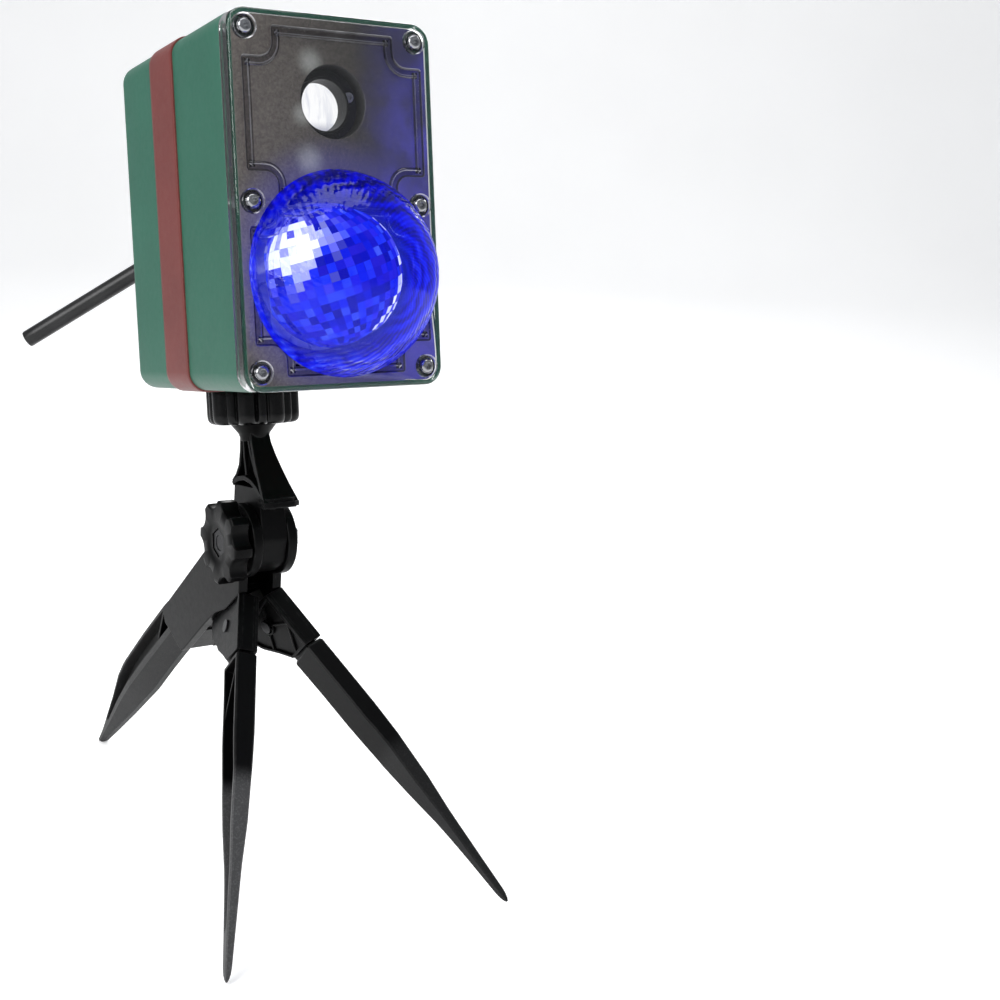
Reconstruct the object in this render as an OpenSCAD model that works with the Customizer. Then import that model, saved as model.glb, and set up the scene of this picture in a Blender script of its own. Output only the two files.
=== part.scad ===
// Light projector stake: a gift-box shaped outdoor projector head on a
// tilting neck, carried by a folding three-legged ground stake.
// Millimetres, +Z up. The origin is on the ground at the centre of the
// object's footprint; the projector looks towards -Y.

/* [Projector head] */
// Width of the box across the front
box_w = 80; // [76:1:86]
// Height of the box
box_h = 130; // [126:1:136]
// Depth of the box, front cover to rear wall
box_d = 108; // [104:1:114]
// Wall thickness of the moulded shell
wall = 2.5; // [2:0.1:3]
// Corner radius of the box
corner_r = 7; // [6:0.5:8]
// Draft of the box sides from front to rear
draft = 3; // [1:0.5:3]
// Depth of the clear front cover's skirt
cover_d = 7; // [6:0.5:8]
// Rest angle of the head, aimed upwards
head_tilt = 4.5; // [0:0.5:5]

/* [Ribbon] */
// Width of the ribbon bands
ribbon_w = 22; // [18:1:26]
// How far the ribbon stands out of the box
ribbon_t = 0.7; // [0.5:0.1:1]
// Distance from the front of the box to the side band
ribbon_y = 50; // [44:1:54]

/* [Optics] */
// Radius of the swirl dome
dome_r = 37; // [36.5:0.1:37.2]
// Height of the dome's axis above the box bottom
dome_z = 40.6; // [40:0.2:42]
// Height of the picture lens axis above the box bottom
lens_z = 100.5; // [99.5:0.5:101.5]
// Radius of the hole in the front panel for the picture lens
aperture_r = 12.9; // [12.5:0.1:13.2]

/* [Neck and knob] */
// Distance from the front of the box to the swivel axis
swivel_y = 79; // [77:1:81]
// Drop from the box bottom to the tilt axis
pivot_drop = 60.4; // [59:0.2:62]
// Outside radius of the locking collar
collar_r = 18.4; // [18:0.2:19]
// Radius of the tilt bolt
bolt_r = 3; // [2.8:0.1:3.2]
// Outside radius of the tilt knob
knob_r = 17; // [16:0.5:18]

/* [Stake] */
// Height of the tilt axis above the ground
pivot_h = 137.3; // [136:0.5:140]
// Angle of the main spike from the vertical
spike_a = 53.9; // [53:0.5:55]
// Length of the main spike from the tilt axis
spike_l = 233; // [230:1:236]
// Radius of the clevis ears
ear_r = 15; // [14:0.5:15.5]
// Sideways position of each front leg's foot
foot_x = 60; // [58:1:62]
// Distance of the front feet ahead of the tilt axis
foot_y = 91; // [88:1:94]
// Radius of the leg pins
pin_r = 2; // [1.8:0.1:2.2]

/* [Hidden] */
$fn = 48;

// Fits
hairline = 0.01;         // space between faces that would touch
run_gap = 0.06;          // radial running clearance
tight_gap = 0.005;       // radial clearance of a tight bolt or pin

// Colours shared by several nodes
screw_steel = [0.75, 0.76, 0.78];
bolt_steel = [0.70, 0.71, 0.73];
pale_metal = [0.72, 0.73, 0.75];
white_board = [0.92, 0.93, 0.90];
clear_lens = [0.9, 0.93, 1.0, 0.6];
stake_black = [0.07, 0.07, 0.07];

// Head: x centred, y from the cover's face, z from the box bottom
cover_wall = 1.8;
post_r = 4;                                   // cover screw posts
screw_x = box_w / 2 - 6.5;
screw_heights = [6.9, 65.3, 123.5] * box_h / 130;
board_y = 80.4;                               // front face of the driver board
board_t = 1.6;                                // thickness of each lamp or driver board
board_screw_x = 20;
board_screw_heights = [76, 116];
cord_z = 60;                                  // axis of the cord outlet
gland_r = 8;                                  // gland's neck through the rear wall
motor_plate_y = 33;                           // front face of the motor plate
motor_r = 12;
shaft_r = 1.5;
sink_y = 52.6;                                // front face of the heat sink

// Swivel and tilt joints
socket_r = 12;           // swivel socket under the box
stem_r = 7.5;
flange_r = 11;
pivot_y = -44;           // tilt axis, from the origin
bolt_head_x = 10.6;      // inner face of the bolt head
ear_x = 7.5;             // middle of each clevis ear
ear_half = 2;            // half the thickness of an ear

// Power cord
cord_r = 3.6;
cord_inside = 14;        // length inside the rear wall
cord_lead = 18;          // straight length behind the rear wall
cord_bend_r = 40;
cord_turn = 58.3;        // angle turned in the bend
cord_roll = 145.8;       // plane of the bend, about the gland axis

// Leg frame at the right leg's pin: x outwards across the leg, z up the leg
// from the foot. Both ends are measured from the tilt axis.
pin_pos = [10.5, -1, -39];
foot_pos = [foot_x, -foot_y, -pivot_h];
leg_length = norm(foot_pos - pin_pos);
spike_dir = [0, sin(spike_a), -cos(spike_a)];
leg_axis_z = (pin_pos - foot_pos) / leg_length;
leg_across = cross(spike_dir, leg_axis_z);
leg_axis_x = leg_across / norm(leg_across);
leg_axis_y = cross(leg_axis_z, leg_axis_x);
hinge_y = 3.3;           // leg pin, in the leg's own frame
hinge_z = 5.9;

// ---------------------------------------------------------------- frames
// tilt axis, level with the ground
module at_pivot() translate([0, pivot_y, pivot_h]) children();
// tilt axis, turned with the head
module at_tilt() at_pivot() rotate([-head_tilt, 0, 0]) children();
// the head's own frame
module in_head() at_tilt() translate([0, -swivel_y, pivot_drop]) children();
// main spike: -z along it, +y square to it on the upper side
module along_spike() at_pivot() rotate([spike_a, 0, 0]) children();
// right leg's frame
module at_pin()
    at_pivot() multmatrix([for (row = [0:2])
        [leg_axis_x[row], leg_axis_y[row], leg_axis_z[row], pin_pos[row]]])
        children();
module at_hinge() translate([0, hinge_y, hinge_z]) children();

// places within the head's frame
module at_dome() translate([0, 0, dome_z]) children();
module at_lens() translate([0, 0, lens_z]) children();
module at_outlet() translate([0, box_d, cord_z]) children();
module at_bow() translate([0, ribbon_y + ribbon_w / 2, box_h - 4]) children();
module at_cover_screws()
    for (z = screw_heights) for (side = [-1, 1])
        translate([side * screw_x, 0, z]) children();
module at_board_screws()
    for (side = [-1, 1]) for (z = board_screw_heights)
        translate([side * board_screw_x, 0, z]) children();
// lens barrel screws, about the lens axis
module at_barrel_screws()
    for (side = [-1, 1]) translate([side * 13.6, 0, side * 4.6]) children();
// six lamps in a ring, about the dome axis
module at_lamps()
    for (angle = [0:60:300]) rotate([0, angle, 0]) translate([18, 0, 0]) children();
// once as it is, once mirrored to the other side of x = 0
module both_sides() for (flip = [0, 1]) mirror([flip, 0, 0]) children();

// ---------------------------------------------------------------- shapes
// a cylinder along Y from y0 to y1
module y_rod(r, y0, y1, x = 0, z = 0)
    translate([x, y1, z]) rotate([90, 0, 0]) cylinder(r = r, h = y1 - y0);
// a cylinder along X from x0 to x1
module x_rod(r, x0, x1)
    translate([x0, 0, 0]) rotate([0, 90, 0]) cylinder(r = r, h = x1 - x0);
// a plate from x0 to x1 with a side outline of [y, z] points
module side_plate(x0, x1, outline)
    translate([x0, 0, 0]) rotate([90, 0, 90]) linear_extrude(x1 - x0) polygon(outline);
// a block centred on y = 0 with an outline symmetric about x = 0, given by
// the [x, z] points of its +x half
module front_block(depth, half)
    rotate([90, 0, 0]) translate([0, 0, -depth / 2]) linear_extrude(depth)
        polygon(concat([for (p = half) [-p[0], p[1]]],
                       [for (i = [len(half) - 1:-1:0]) half[i]]));
// a screw pointing to +Y, its head from head_y to seat_y
module screw(head_r, head_y, seat_y, shank_r, tip_y) {
    y_rod(head_r, head_y, seat_y);
    y_rod(shank_r, seat_y - 0.1, tip_y);
}
// the box's front outline, drawn in by inset
module face_outline(inset) {
    w = box_w - 2 * inset;
    h = box_h - 2 * inset;
    r = corner_r - inset;
    square([w - 2 * r, h], center = true);
    square([w, h - 2 * r], center = true);
    for (sx = [-1, 1]) for (sz = [-1, 1])
        translate([sx * (w / 2 - r), sz * (h / 2 - r)]) circle(r = r);
}
module slab(inset, y0, y1)
    translate([0, y1, box_h / 2]) rotate([90, 0, 0])
        linear_extrude(y1 - y0) face_outline(inset);
// the drafted, rounded body of the box; grow moves its sides and rear outwards
module box_body(grow, y0, y1) {
    x = box_w / 2 - corner_r;
    rise = box_h / 2 - corner_r;
    hull() {
        for (sx = [-1, 1]) for (sz = [-1, 1]) {
            y_rod(corner_r + grow, y0, y0 + 0.5, sx * x, box_h / 2 + sz * rise, $fn = 32);
            // the underside takes half the draft
            translate([sx * (x - draft), y1 - corner_r,
                       box_h / 2 + sz * rise - (sz > 0 ? draft : -draft / 2)])
                sphere(r = corner_r + grow, $fn = 32);
        }
    }
}
// everything above the ground
module above_ground() translate([-200, -300, 0]) cube([400, 600, 400]);

// ---------------------------------------------------------------- housing
module housing_shell() {
    color([0.05, 0.42, 0.30]) in_head() difference() {
        union() {
            difference() {
                box_body(0, cover_d, box_d);
                box_body(-wall, cover_d - 1, box_d);
            }
            at_cover_screws() y_rod(post_r, cover_d, 34);
            // circuit board posts from the rear wall
            at_board_screws() y_rod(3, board_y + board_t, box_d - wall + 0.4);
            // swivel socket under the box
            translate([0, swivel_y, -9]) cylinder(r = socket_r, h = 13);
        }
        // screw holes
        at_cover_screws() y_rod(1.5, cover_d - 1, 26);
        at_board_screws() y_rod(1.2, 81, 92);
        // cord outlet
        at_outlet() y_rod(gland_r + 0.1, -8, 1);
        // swivel socket hollow
        translate([0, swivel_y, -9.1]) cylinder(r = 7, h = 9);
        // drain notch in the rear wall
        translate([-1.5, box_d - 8, -1]) cube([3, 9, 6.5]);
        // groove for the cover gasket
        difference() {
            slab(0.8, cover_d - 0.1, cover_d + 0.8);
            slab(1.8, cover_d - 0.2, cover_d + 0.9);
        }
    }
}

// ---------------------------------------------------------------- ribbon
module band_space() {
    // loop round the sides, top and bottom
    hull() translate([-box_w, ribbon_y, -20]) cube([2 * box_w, ribbon_w, box_h + 40]);
    // band down the rear
    hull() translate([-ribbon_w / 2, box_d - 20, -4]) cube([ribbon_w, 40, box_h]);
    // band along the top
    hull() translate([-ribbon_w / 2, 12, box_h - 12]) cube([ribbon_w, box_d, 40]);
}
// plan of the bow, standing up from z = 0
module bow_space() {
    bow_h = 6;
    both_sides() {
        // loop: a rounded leaf
        hull() {
            translate([22, 0.6, 0]) cylinder(r = 9, h = bow_h, $fn = 24);
            translate([6, -1, 0]) cylinder(r = 4, h = bow_h, $fn = 24);
        }
        // slanting tail
        hull() {
            translate([4, 4, 0]) cylinder(r = 3, h = bow_h, $fn = 32);
            translate([17, 19, 0]) rotate(-42) translate([-4.5, -4, 0]) cube([9, 5, bow_h]);
        }
    }
    // knot
    hull() cylinder(r = 7, h = bow_h, $fn = 32);
}
module ribbon_wrap() {
    color([0.45, 0.11, 0.09]) in_head() difference() {
        intersection() {
            box_body(ribbon_t, cover_d + 1, box_d);
            band_space();
        }
        box_body(0.05, cover_d, box_d);
        // collar seat
        translate([-21, 57, -6]) cube([42, 43, 9]);
        // hexagonal room for the cord gland
        at_outlet() y_rod(15.3, -8, 4, $fn = 6);
        // drain notch
        translate([-1.5, box_d - 8, -3]) cube([3, 12, 8.5]);
        at_bow() bow_space();
    }
}
module ribbon_bow() {
    color([0.50, 0.13, 0.10]) in_head() difference() {
        intersection() {
            box_body(3.2, cover_d, box_d);
            // slightly smaller than its seat in the ribbon
            at_bow() scale([0.996, 0.996, 3]) bow_space();
        }
        box_body(0, cover_d, box_d);
    }
}

// ---------------------------------------------------------------- front
module front_cover() {
    color([0.75, 0.78, 0.80, 0.4]) in_head() difference() {
        slab(0, 0, cover_d - hairline);
        // hollow behind the face, kept clear of the screw bosses
        difference() {
            slab(cover_wall, cover_wall, cover_d + 1);
            at_cover_screws() y_rod(post_r, 0, cover_d + 2);
        }
        // dome opening
        at_dome() y_rod(dome_r - 1.5, -1, 3);
        // screw holes and head recesses
        at_cover_screws() {
            y_rod(1.7, -1, cover_d + 1);
            y_rod(2.9, -1, 1.4);
        }
    }
}
module cover_gasket() {
    color([0.12, 0.12, 0.12]) in_head() difference() {
        slab(0.85, cover_d, cover_d + 0.78);
        slab(1.75, cover_d - 1, cover_d + 2);
    }
}
module cover_screws() {
    head_y = -0.4;
    color(screw_steel) in_head() at_cover_screws() difference() {
        union() screw(head_r = 2.6, head_y = head_y, seat_y = 1.4,
                      shank_r = 1.44, tip_y = 24);
        // cross recess
        translate([0, head_y, 0]) for (angle = [0, 90]) rotate([0, angle, 0])
            translate([-1.5, -1, -0.3]) cube([3, 2.1, 0.6]);
    }
}
module inner_panel() {
    color([0.20, 0.19, 0.18]) in_head() difference() {
        union() {
            slab(2.1, 2.2, 3.8);
            // rim round the picture lens
            at_lens() y_rod(aperture_r + 1.6, 3, 8.5);
        }
        at_dome() y_rod(dome_r - 3.5, 1, 9);
        at_lens() y_rod(aperture_r, 1, 9);
        at_cover_screws() y_rod(post_r + 0.3, 1, 9);
    }
}

// ---------------------------------------------------------------- swirl optics
module dome_lens() {
    centre_y = 6;
    base_y = 2.15;           // rear face of the rim
    color([0.10, 0.15, 0.95, 0.6]) in_head() difference() {
        union() {
            // cap in front of the cover
            intersection() {
                translate([0, centre_y, dome_z]) sphere(r = dome_r, $fn = 96);
                translate([-50, -50, -20]) cube([100, 50 - hairline, 130]);
            }
            // rim in the cover's opening
            at_dome() y_rod(dome_r - 1.56, -1, base_y);
        }
        // hollow
        difference() {
            translate([0, centre_y, dome_z]) sphere(r = dome_r - 2.2, $fn = 96);
            translate([-50, base_y, -20]) cube([100, 50, 130]);
        }
        at_dome() y_rod(dome_r - 4, 0, 3);
    }
}
// half section of the rotor: radius against distance ahead of the cover's face
module rotor_profile() {
    centre = -10;            // centre of the bowl
    floor = -13;             // rear face
    difference() {
        union() {
            // bowl
            difference() {
                intersection() {
                    translate([0, centre]) circle(r = 26, $fn = 96);
                    translate([0, floor]) square([40, 50]);
                }
                translate([0, centre]) circle(r = 24.2, $fn = 96);
            }
            // base disc and hub
            translate([0, floor]) square([25, 1.6]);
            translate([0, floor]) square([4, 9]);
        }
        // shaft bore
        translate([-2, floor - 1]) square([2 + shaft_r + run_gap, 11]);
        // nothing beyond the axis
        translate([-60, -60]) square([60, 120]);
    }
}
module wave_rotor() {
    color([0.55, 0.65, 1.0, 0.6]) in_head() at_dome() difference() {
        rotate([90, 0, 0]) rotate_extrude($fn = 64) rotor_profile();
        // windows in the base disc for the lamps
        at_lamps() y_rod(4.5, 10, 14);
    }
}
module rotor_motor() {
    color([0.62, 0.63, 0.66]) in_head() at_dome() {
        // shaft, front body, rear body and nose
        y_rod(shaft_r, 8, 24);
        y_rod(14, 24, motor_plate_y);
        y_rod(motor_r, motor_plate_y - 0.1, 50);
        y_rod(4, 21.5, 24.5);
        // terminals
        for (side = [-1, 1]) translate([side * 5 - 1, 49.9, -2]) cube([2, 4, 4]);
    }
}
module motor_bracket() {
    plate_w = 66;
    plate_h = 62;
    color([0.30, 0.31, 0.32]) in_head() difference() {
        at_dome() {
            translate([-plate_w / 2, motor_plate_y, -plate_h / 2])
                cube([plate_w, 2.4, plate_h]);
            // pillars from the inner panel
            for (sx = [-1, 1]) for (sz = [-1, 1])
                y_rod(2.8, 3.8, motor_plate_y + 0.5, sx * 28.5, sz * 28.5);
        }
        at_dome() y_rod(motor_r + run_gap, 32, 36);
        // clearance for the cover screw posts
        at_cover_screws() y_rod(post_r + 0.4, 3, 36);
        // four diagonal holes round the motor
        at_dome() for (angle = [45:90:315]) rotate([0, angle, 0]) y_rod(5, 32, 36, 21);
    }
}
module wave_led_board() {
    front_y = 19.6;
    color(white_board) in_head() at_dome() difference() {
        union() {
            y_rod(27, front_y, front_y + board_t);
            // lamps
            at_lamps() y_rod(2.5, 15.5, front_y + 0.1);
            // spacers to the motor plate
            for (side = [-1, 1])
                y_rod(2, front_y + board_t - 0.1, motor_plate_y, side * 23);
        }
        y_rod(6, 15, 25);
    }
}

// ---------------------------------------------------------------- picture optics
module lens_barrel() {
    color([0.06, 0.06, 0.07]) in_head() at_lens() difference() {
        union() {
            // tube, mounting flange and condenser cup
            y_rod(10.3, 9, 44);
            y_rod(18, 15, 17);
            y_rod(14, 40.5, 48);
        }
        // bores of the tube and the cup
        y_rod(8.6, 8, 42.5);
        y_rod(11.06, 42, 49);
        // seat of the picture lens
        y_rod(9.3, 8, 17.5);
        // slot for the picture slide, open at the top
        translate([-8.2, 34, -8.2]) cube([16.4, 1.4, 40]);
        at_barrel_screws() y_rod(1.3, 14, 18);
    }
}
module projection_lens() {
    color(clear_lens) in_head() at_lens() intersection() {
        y_rod(9.25, 12, 17.45);
        translate([0, 28.4, 0]) sphere(r = 15.8, $fn = 64);
    }
}
module barrel_screws() {
    color(screw_steel) in_head() at_lens() at_barrel_screws()
        screw(head_r = 2, head_y = 13.8, seat_y = 15, shank_r = 1.24, tip_y = 22);
}
module image_slide() {
    color([0.25, 0.3, 0.8, 0.7]) in_head() at_lens()
        translate([-8, 34.15, -8]) cube([16, 1.1, 18]);
}
module condenser_lens() {
    color(clear_lens) in_head() at_lens() intersection() {
        y_rod(11, 42.5, 48);
        translate([0, 57, 0]) sphere(r = 14.5, $fn = 64);
    }
}
module picture_led_board() {
    front_y = sink_y - board_t;
    color(white_board) in_head() at_lens() {
        y_rod(13, front_y, sink_y);
        // lamp
        y_rod(3.2, 48.6, front_y + 0.1);
    }
}
module heat_sink() {
    sink_w = 40;
    sink_h = 34;
    fin_t = 1.6;
    fin_gaps = 7;
    fin_pitch = (sink_w - fin_t) / fin_gaps;
    color(pale_metal) in_head() at_lens() translate([-sink_w / 2, sink_y, -sink_h / 2]) {
        cube([sink_w, 3, sink_h]);
        for (i = [0:fin_gaps])
            translate([i * fin_pitch, 2.9, 0]) cube([fin_t, 12, sink_h]);
    }
}

// ---------------------------------------------------------------- driver and cord
module driver_board() {
    // [corner, size]: the board, then the components on its front
    blocks = [
        [[-26, board_y, 71], [52, board_t, 50]],
        [[-18, 72.5, 80], [12, 8, 14]],
        [[-8, 76.5, 102], [16, 4, 8]],
        [[14, 74, 100], [7, 6.5, 10]]
    ];
    color([0.10, 0.35, 0.18]) in_head() difference() {
        union() {
            for (block = blocks) translate(block[0]) cube(block[1]);
            // round component
            y_rod(5, 71, board_y + 0.1, 12, 88);
        }
        at_board_screws() y_rod(1.5, 79, 83);
    }
}
module board_screws() {
    color(screw_steel) in_head() at_board_screws()
        screw(head_r = 2.2, head_y = 79, seat_y = board_y, shank_r = 1.15, tip_y = 90);
}
module cord_gland() {
    color([0.07, 0.46, 0.33]) in_head() at_outlet() difference() {
        union() {
            // hexagon, rear rim and neck through the wall
            y_rod(15, hairline, 7, $fn = 6);
            y_rod(9.3, 6.9, 10);
            y_rod(gland_r, -8, 0.1);
        }
        y_rod(5.2, -9, 11);
    }
}
module gland_locknut() {
    rear_y = -wall - 0.06;
    color([0.08, 0.08, 0.08]) in_head() at_outlet() difference() {
        y_rod(12, rear_y - 4, rear_y, $fn = 6);
        y_rod(gland_r + run_gap, -10, 0);
    }
}
module cord_seal() {
    color([0.06, 0.06, 0.06]) in_head() at_outlet() difference() {
        y_rod(5.15, -6, 10.6);
        y_rod(cord_r + run_gap, -7, 11);
    }
}

// The cord's centre line lies in the plane of the bend, as [sideways, rearwards]
// from the start of the bend. t is the distance along it from its inner end.
cord_straight = cord_inside + cord_lead;
cord_arc = cord_bend_r * cord_turn * PI / 180;
function cord_angle(t) =
    max(0, min(cord_turn, (t - cord_straight) / cord_bend_r * 180 / PI));
function cord_dir(t) = [sin(cord_angle(t)), cos(cord_angle(t))];
function cord_point(t) =
    let (angle = cord_angle(t),
         // straight run, negative before the bend and positive after it
         run = min(0, t - cord_straight) + max(0, t - cord_straight - cord_arc))
    cord_bend_r * [1 - cos(angle), sin(angle)] + run * cord_dir(t);

// leaves the gland, bends down and towards -X, and is cut short
module power_cord() {
    sides = 20;
    bend_steps = 12;
    bend_span = 40.7;        // sampled length of the bend
    // distances of the rings along the cord
    stations = concat([0, 12, 24, cord_straight],
                      [for (i = [1:bend_steps]) cord_straight + i * bend_span / bend_steps],
                      [88, 104, 126.7]);
    last = len(stations) - 1;
    points = [for (t = stations)
        let (centre = cord_point(t), dir = cord_dir(t))
        for (i = [0:sides - 1])
            let (angle = i * 360 / sides, offset = cord_r * cos(angle))
            [centre[0] + offset * dir[1], centre[1] - offset * dir[0],
             cord_r * sin(angle)]];
    faces = concat(
        [[for (i = [0:sides - 1]) i]],
        [for (k = [0:last - 1]) for (i = [0:sides - 1])
            let (j = (i + 1) % sides, ring = k * sides, next = ring + sides)
            [ring + i, next + i, next + j, ring + j]],
        [[for (i = [sides - 1:-1:0]) last * sides + i]]);
    color([0.05, 0.05, 0.05]) in_head() at_outlet() translate([0, cord_lead, 0])
        rotate([0, cord_roll, 0]) polyhedron(points, faces);
}

// ---------------------------------------------------------------- neck
// frame on the tilt axis, z up to the box bottom at pivot_drop
module locking_collar() {
    bottom = -14;            // from the box bottom
    color([0.05, 0.05, 0.05]) at_tilt() translate([0, 0, pivot_drop]) difference() {
        union() {
            translate([0, 0, bottom]) cylinder(r = collar_r - 2.6, h = 13.7);
            // eight large grip lobes with a small one after each
            for (angle = [0:45:315]) rotate(angle + 10) {
                translate([collar_r - 4, 0, bottom]) cylinder(r = 4, h = 13.2);
                rotate(22.5) translate([collar_r - 3.2, 0, bottom + 1])
                    cylinder(r = 2.4, h = 12.2);
            }
        }
        // room for the socket, the stem and the flange
        translate([0, 0, -10.8]) cylinder(r = socket_r + run_gap, h = 12);
        translate([0, 0, bottom - 1]) cylinder(r = stem_r + run_gap, h = 6);
        translate([0, 0, -11.5]) cylinder(r = flange_r + run_gap, h = 3);
    }
}
module neck() {
    tongue_x = 5.3;          // half the thickness of the tongue
    // outlines in [y, z]
    plates = [[-5.2, 42], [-11.6, 29], [-22.6, 17.6], [-22.6, 14.6], [-19, 14.6],
              [-9.6, 27], [-3.6, 39], [3.2, 39], [4.2, 27], [8.2, 22.8],
              [9.8, 23.6], [6, 28], [5, 42]];
    web = [[-4.6, 42], [-10.6, 28], [-17, 17], [-12.5, 0], [12.5, 0],
           [10.5, 16], [5.4, 28], [4.4, 42]];
    skirt = [[-21, 14.6], [-17.6, 18.2], [-13, 22], [-7.8, 24.8], [-1.6, 26.2],
             [4.2, 25.6], [8.4, 24.2], [10, 23.2], [9, 21.8], [7.6, 22.6],
             [3.8, 23.7], [-1.6, 24.2], [-7.2, 22.9], [-12.2, 20.2],
             [-16.4, 16.6], [-19, 14.6]];
    // half outline in [x, z]
    plate_taper = [[4.1, 43], [5, 32], [7.8, 17], [7.8, 13]];
    color([0.06, 0.06, 0.06]) at_tilt() difference() {
        union() {
            // captured flange and stem
            translate([0, 0, pivot_drop - 11.4]) cylinder(r = flange_r, h = 2.3);
            translate([0, 0, pivot_drop - 19]) cylinder(r = stem_r, h = 8);
            // front and rear plates, joined at the top, widening downwards
            intersection() {
                side_plate(-14, 14, plates);
                front_block(60, plate_taper);
            }
            // central web down to the tongue
            side_plate(-3, 3, web);
            // arched skirt over the clevis
            side_plate(-6.6, 6.6, skirt);
            // tongue between the ears
            x_rod(14.2, -tongue_x, tongue_x);
            translate([-tongue_x, -12, 0]) cube([2 * tongue_x, 22, 19]);
        }
        x_rod(bolt_r + run_gap, -20, 20);
    }
}
module tilt_bolt() {
    color(bolt_steel) at_pivot() {
        x_rod(bolt_r, -17.4, bolt_head_x + 0.1);
        x_rod(5.7, bolt_head_x, bolt_head_x + 4, $fn = 6);
    }
}
module bolt_washer() {
    color(bolt_steel) at_pivot() difference() {
        x_rod(6.5, ear_x + ear_half + hairline, bolt_head_x - hairline);
        x_rod(bolt_r + 0.02, 9, 12);
    }
}
// eight lobes between round scallops
module knob_outline() difference() {
    circle(r = knob_r);
    for (angle = [0:45:315]) rotate(angle) translate([knob_r + 3.1, 0]) circle(r = 6.2);
}
module tilt_knob() {
    color(stake_black) at_pivot() rotate([0, 90, 0]) {
        // outer part with the nut pocket
        translate([0, 0, -18.5]) linear_extrude(4.6) difference() {
            knob_outline();
            circle(r = 5.95, $fn = 6);
        }
        // inner part with the bolt bore
        translate([0, 0, -13.9]) linear_extrude(2.9) difference() {
            knob_outline();
            circle(r = bolt_r + run_gap);
        }
        // hub against the ear
        translate([0, 0, -11]) linear_extrude(1.4) difference() {
            circle(r = 7);
            circle(r = bolt_r + run_gap);
        }
    }
}
module knob_nut() {
    color(bolt_steel) at_pivot() difference() {
        x_rod(5.85, -17.7, -13.95, $fn = 6);
        x_rod(bolt_r + run_gap, -24, -9);
    }
}

// ---------------------------------------------------------------- stake
// Side outlines are [y, z] and half outlines [x, z], in the spike's frame for
// the spike and sleeve, and in the leg's frame for the legs and their brackets.
module spike_body() {
    profile = [[-10, -70], [-10, -83], [-6.4, -96], [-6.6, -127], [-7.1, -145],
               [-5.3, -181], [-3.4, -210], [-1.9, -231], [-1.7, -spike_l - 1],
               [1.5, -spike_l - 1], [3, -221], [5.5, -206], [8.5, -190],
               [12.8, -172], [14, -155], [14, -123], [13.2, -92], [11.7, -70]];
    plan_half = [[9, -70], [8.4, -92], [7, -160], [1.8, -spike_l - 2]];
    recess = [[3.5, -93], [4.2, -115], [4.9, -137], [4.8, -164], [4.4, -186],
              [2.7, -207], [3.4, -208.5], [4.2, -203], [7, -188], [10.8, -171],
              [12, -155], [12, -123], [11.4, -93]];
    rib = [[11.6, -92], [11.6, -94.4], [3.2, -108], [3.2, -105.6]];
    difference() {
        // both views taper to the point
        intersection() {
            side_plate(-12, 12, profile);
            front_block(40, plan_half);
        }
        for (side = [-1, 1]) {
            // long recess above the keel, with a slanting rib near the sleeve
            difference() {
                side_plate(side * 7 - 5, side * 7 + 5, recess);
                side_plate(side * 7 - 6, side * 7 + 6, rib);
            }
            // sloping face of the keel, cut along the spike
            translate([0, 0, -spike_l - 5]) linear_extrude(spike_l - 78)
                polygon([[side * 8.6, 0.3], [side * 14, 0.3], [side * 14, -16],
                         [side * 1.4, -16], [side * 1.4, -7.4]]);
        }
    }
}
// one leg, running down -z from its pin
module leg_blade() {
    tongue_x = 2.1;          // half the thickness of the tongue
    tongue = [[-8.6, -14], [-8.6, -5], [-2.9, 5], [8.8, 4], [6, -7], [4.2, -14]];
    profile = [[-10.9, -13.3], [-11.3, -40], [-11.2, -64], [-9.1, -84], [-7, -100],
               [-5, -116], [-2.6, -leg_length + 1], [-2.2, -leg_length - 3],
               [1.6, -leg_length - 3], [0.6, -126], [0.4, -104], [1.6, -84],
               [2.9, -70], [3.3, -46], [3.5, -30], [4.3, -13.3]];
    width_half = [[4.2, -13], [4.1, -50], [3.5, -66], [3.2, -84], [2.2, -101],
                  [1.9, -116], [1, -leg_length - 4]];
    recess = [[-9.2, -16.5], [-9.6, -40], [-9.5, -64], [-7.3, -84], [-5.4, -100],
              [-3.6, -114], [-2.2, -124], [-0.9, -124], [-0.9, -104], [0.2, -84],
              [1.4, -70], [1.8, -46], [2, -30], [2.5, -16.5]];
    rib = [[-9.8, -16], [-9.8, -19], [1.9, -40], [1.9, -37]];
    difference() {
        union() {
            // tongue round the pin
            at_hinge() x_rod(6.2, -tongue_x, tongue_x);
            side_plate(-tongue_x, tongue_x, tongue);
            // blade below the shoulder
            intersection() {
                side_plate(-4.3, 4.3, profile);
                front_block(40, width_half);
            }
        }
        at_hinge() x_rod(pin_r + run_gap, -6, 6);
        // long recess on the outer side, crossed by one slanting rib
        difference() {
            side_plate(-0.6, 7.4, recess);
            side_plate(-1, 8, rib);
        }
    }
}
// bracket of one leg, before its slot is cut
module pin_block() {
    body = [[-11.2, -12.8], [2.8, -11.6], [8.6, -5.3], [16.8, 2.2], [18.4, 4.8],
            [26, 14], [26, 34], [0, 34], [-2, 15.2], [-11.2, 13.6]];
    pad = [[-11.2, -12.8], [1.8, -11.2], [8.3, -4.2], [9.9, 7.4], [8.2, 9],
           [-6.4, 7.7], [-8.8, 10], [-9.4, 13.4], [-11.2, 13.6]];
    side_plate(-4.3, 3.1, body);
    // raised pad of the outer cheek
    side_plate(3, 4.3, pad);
}
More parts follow.
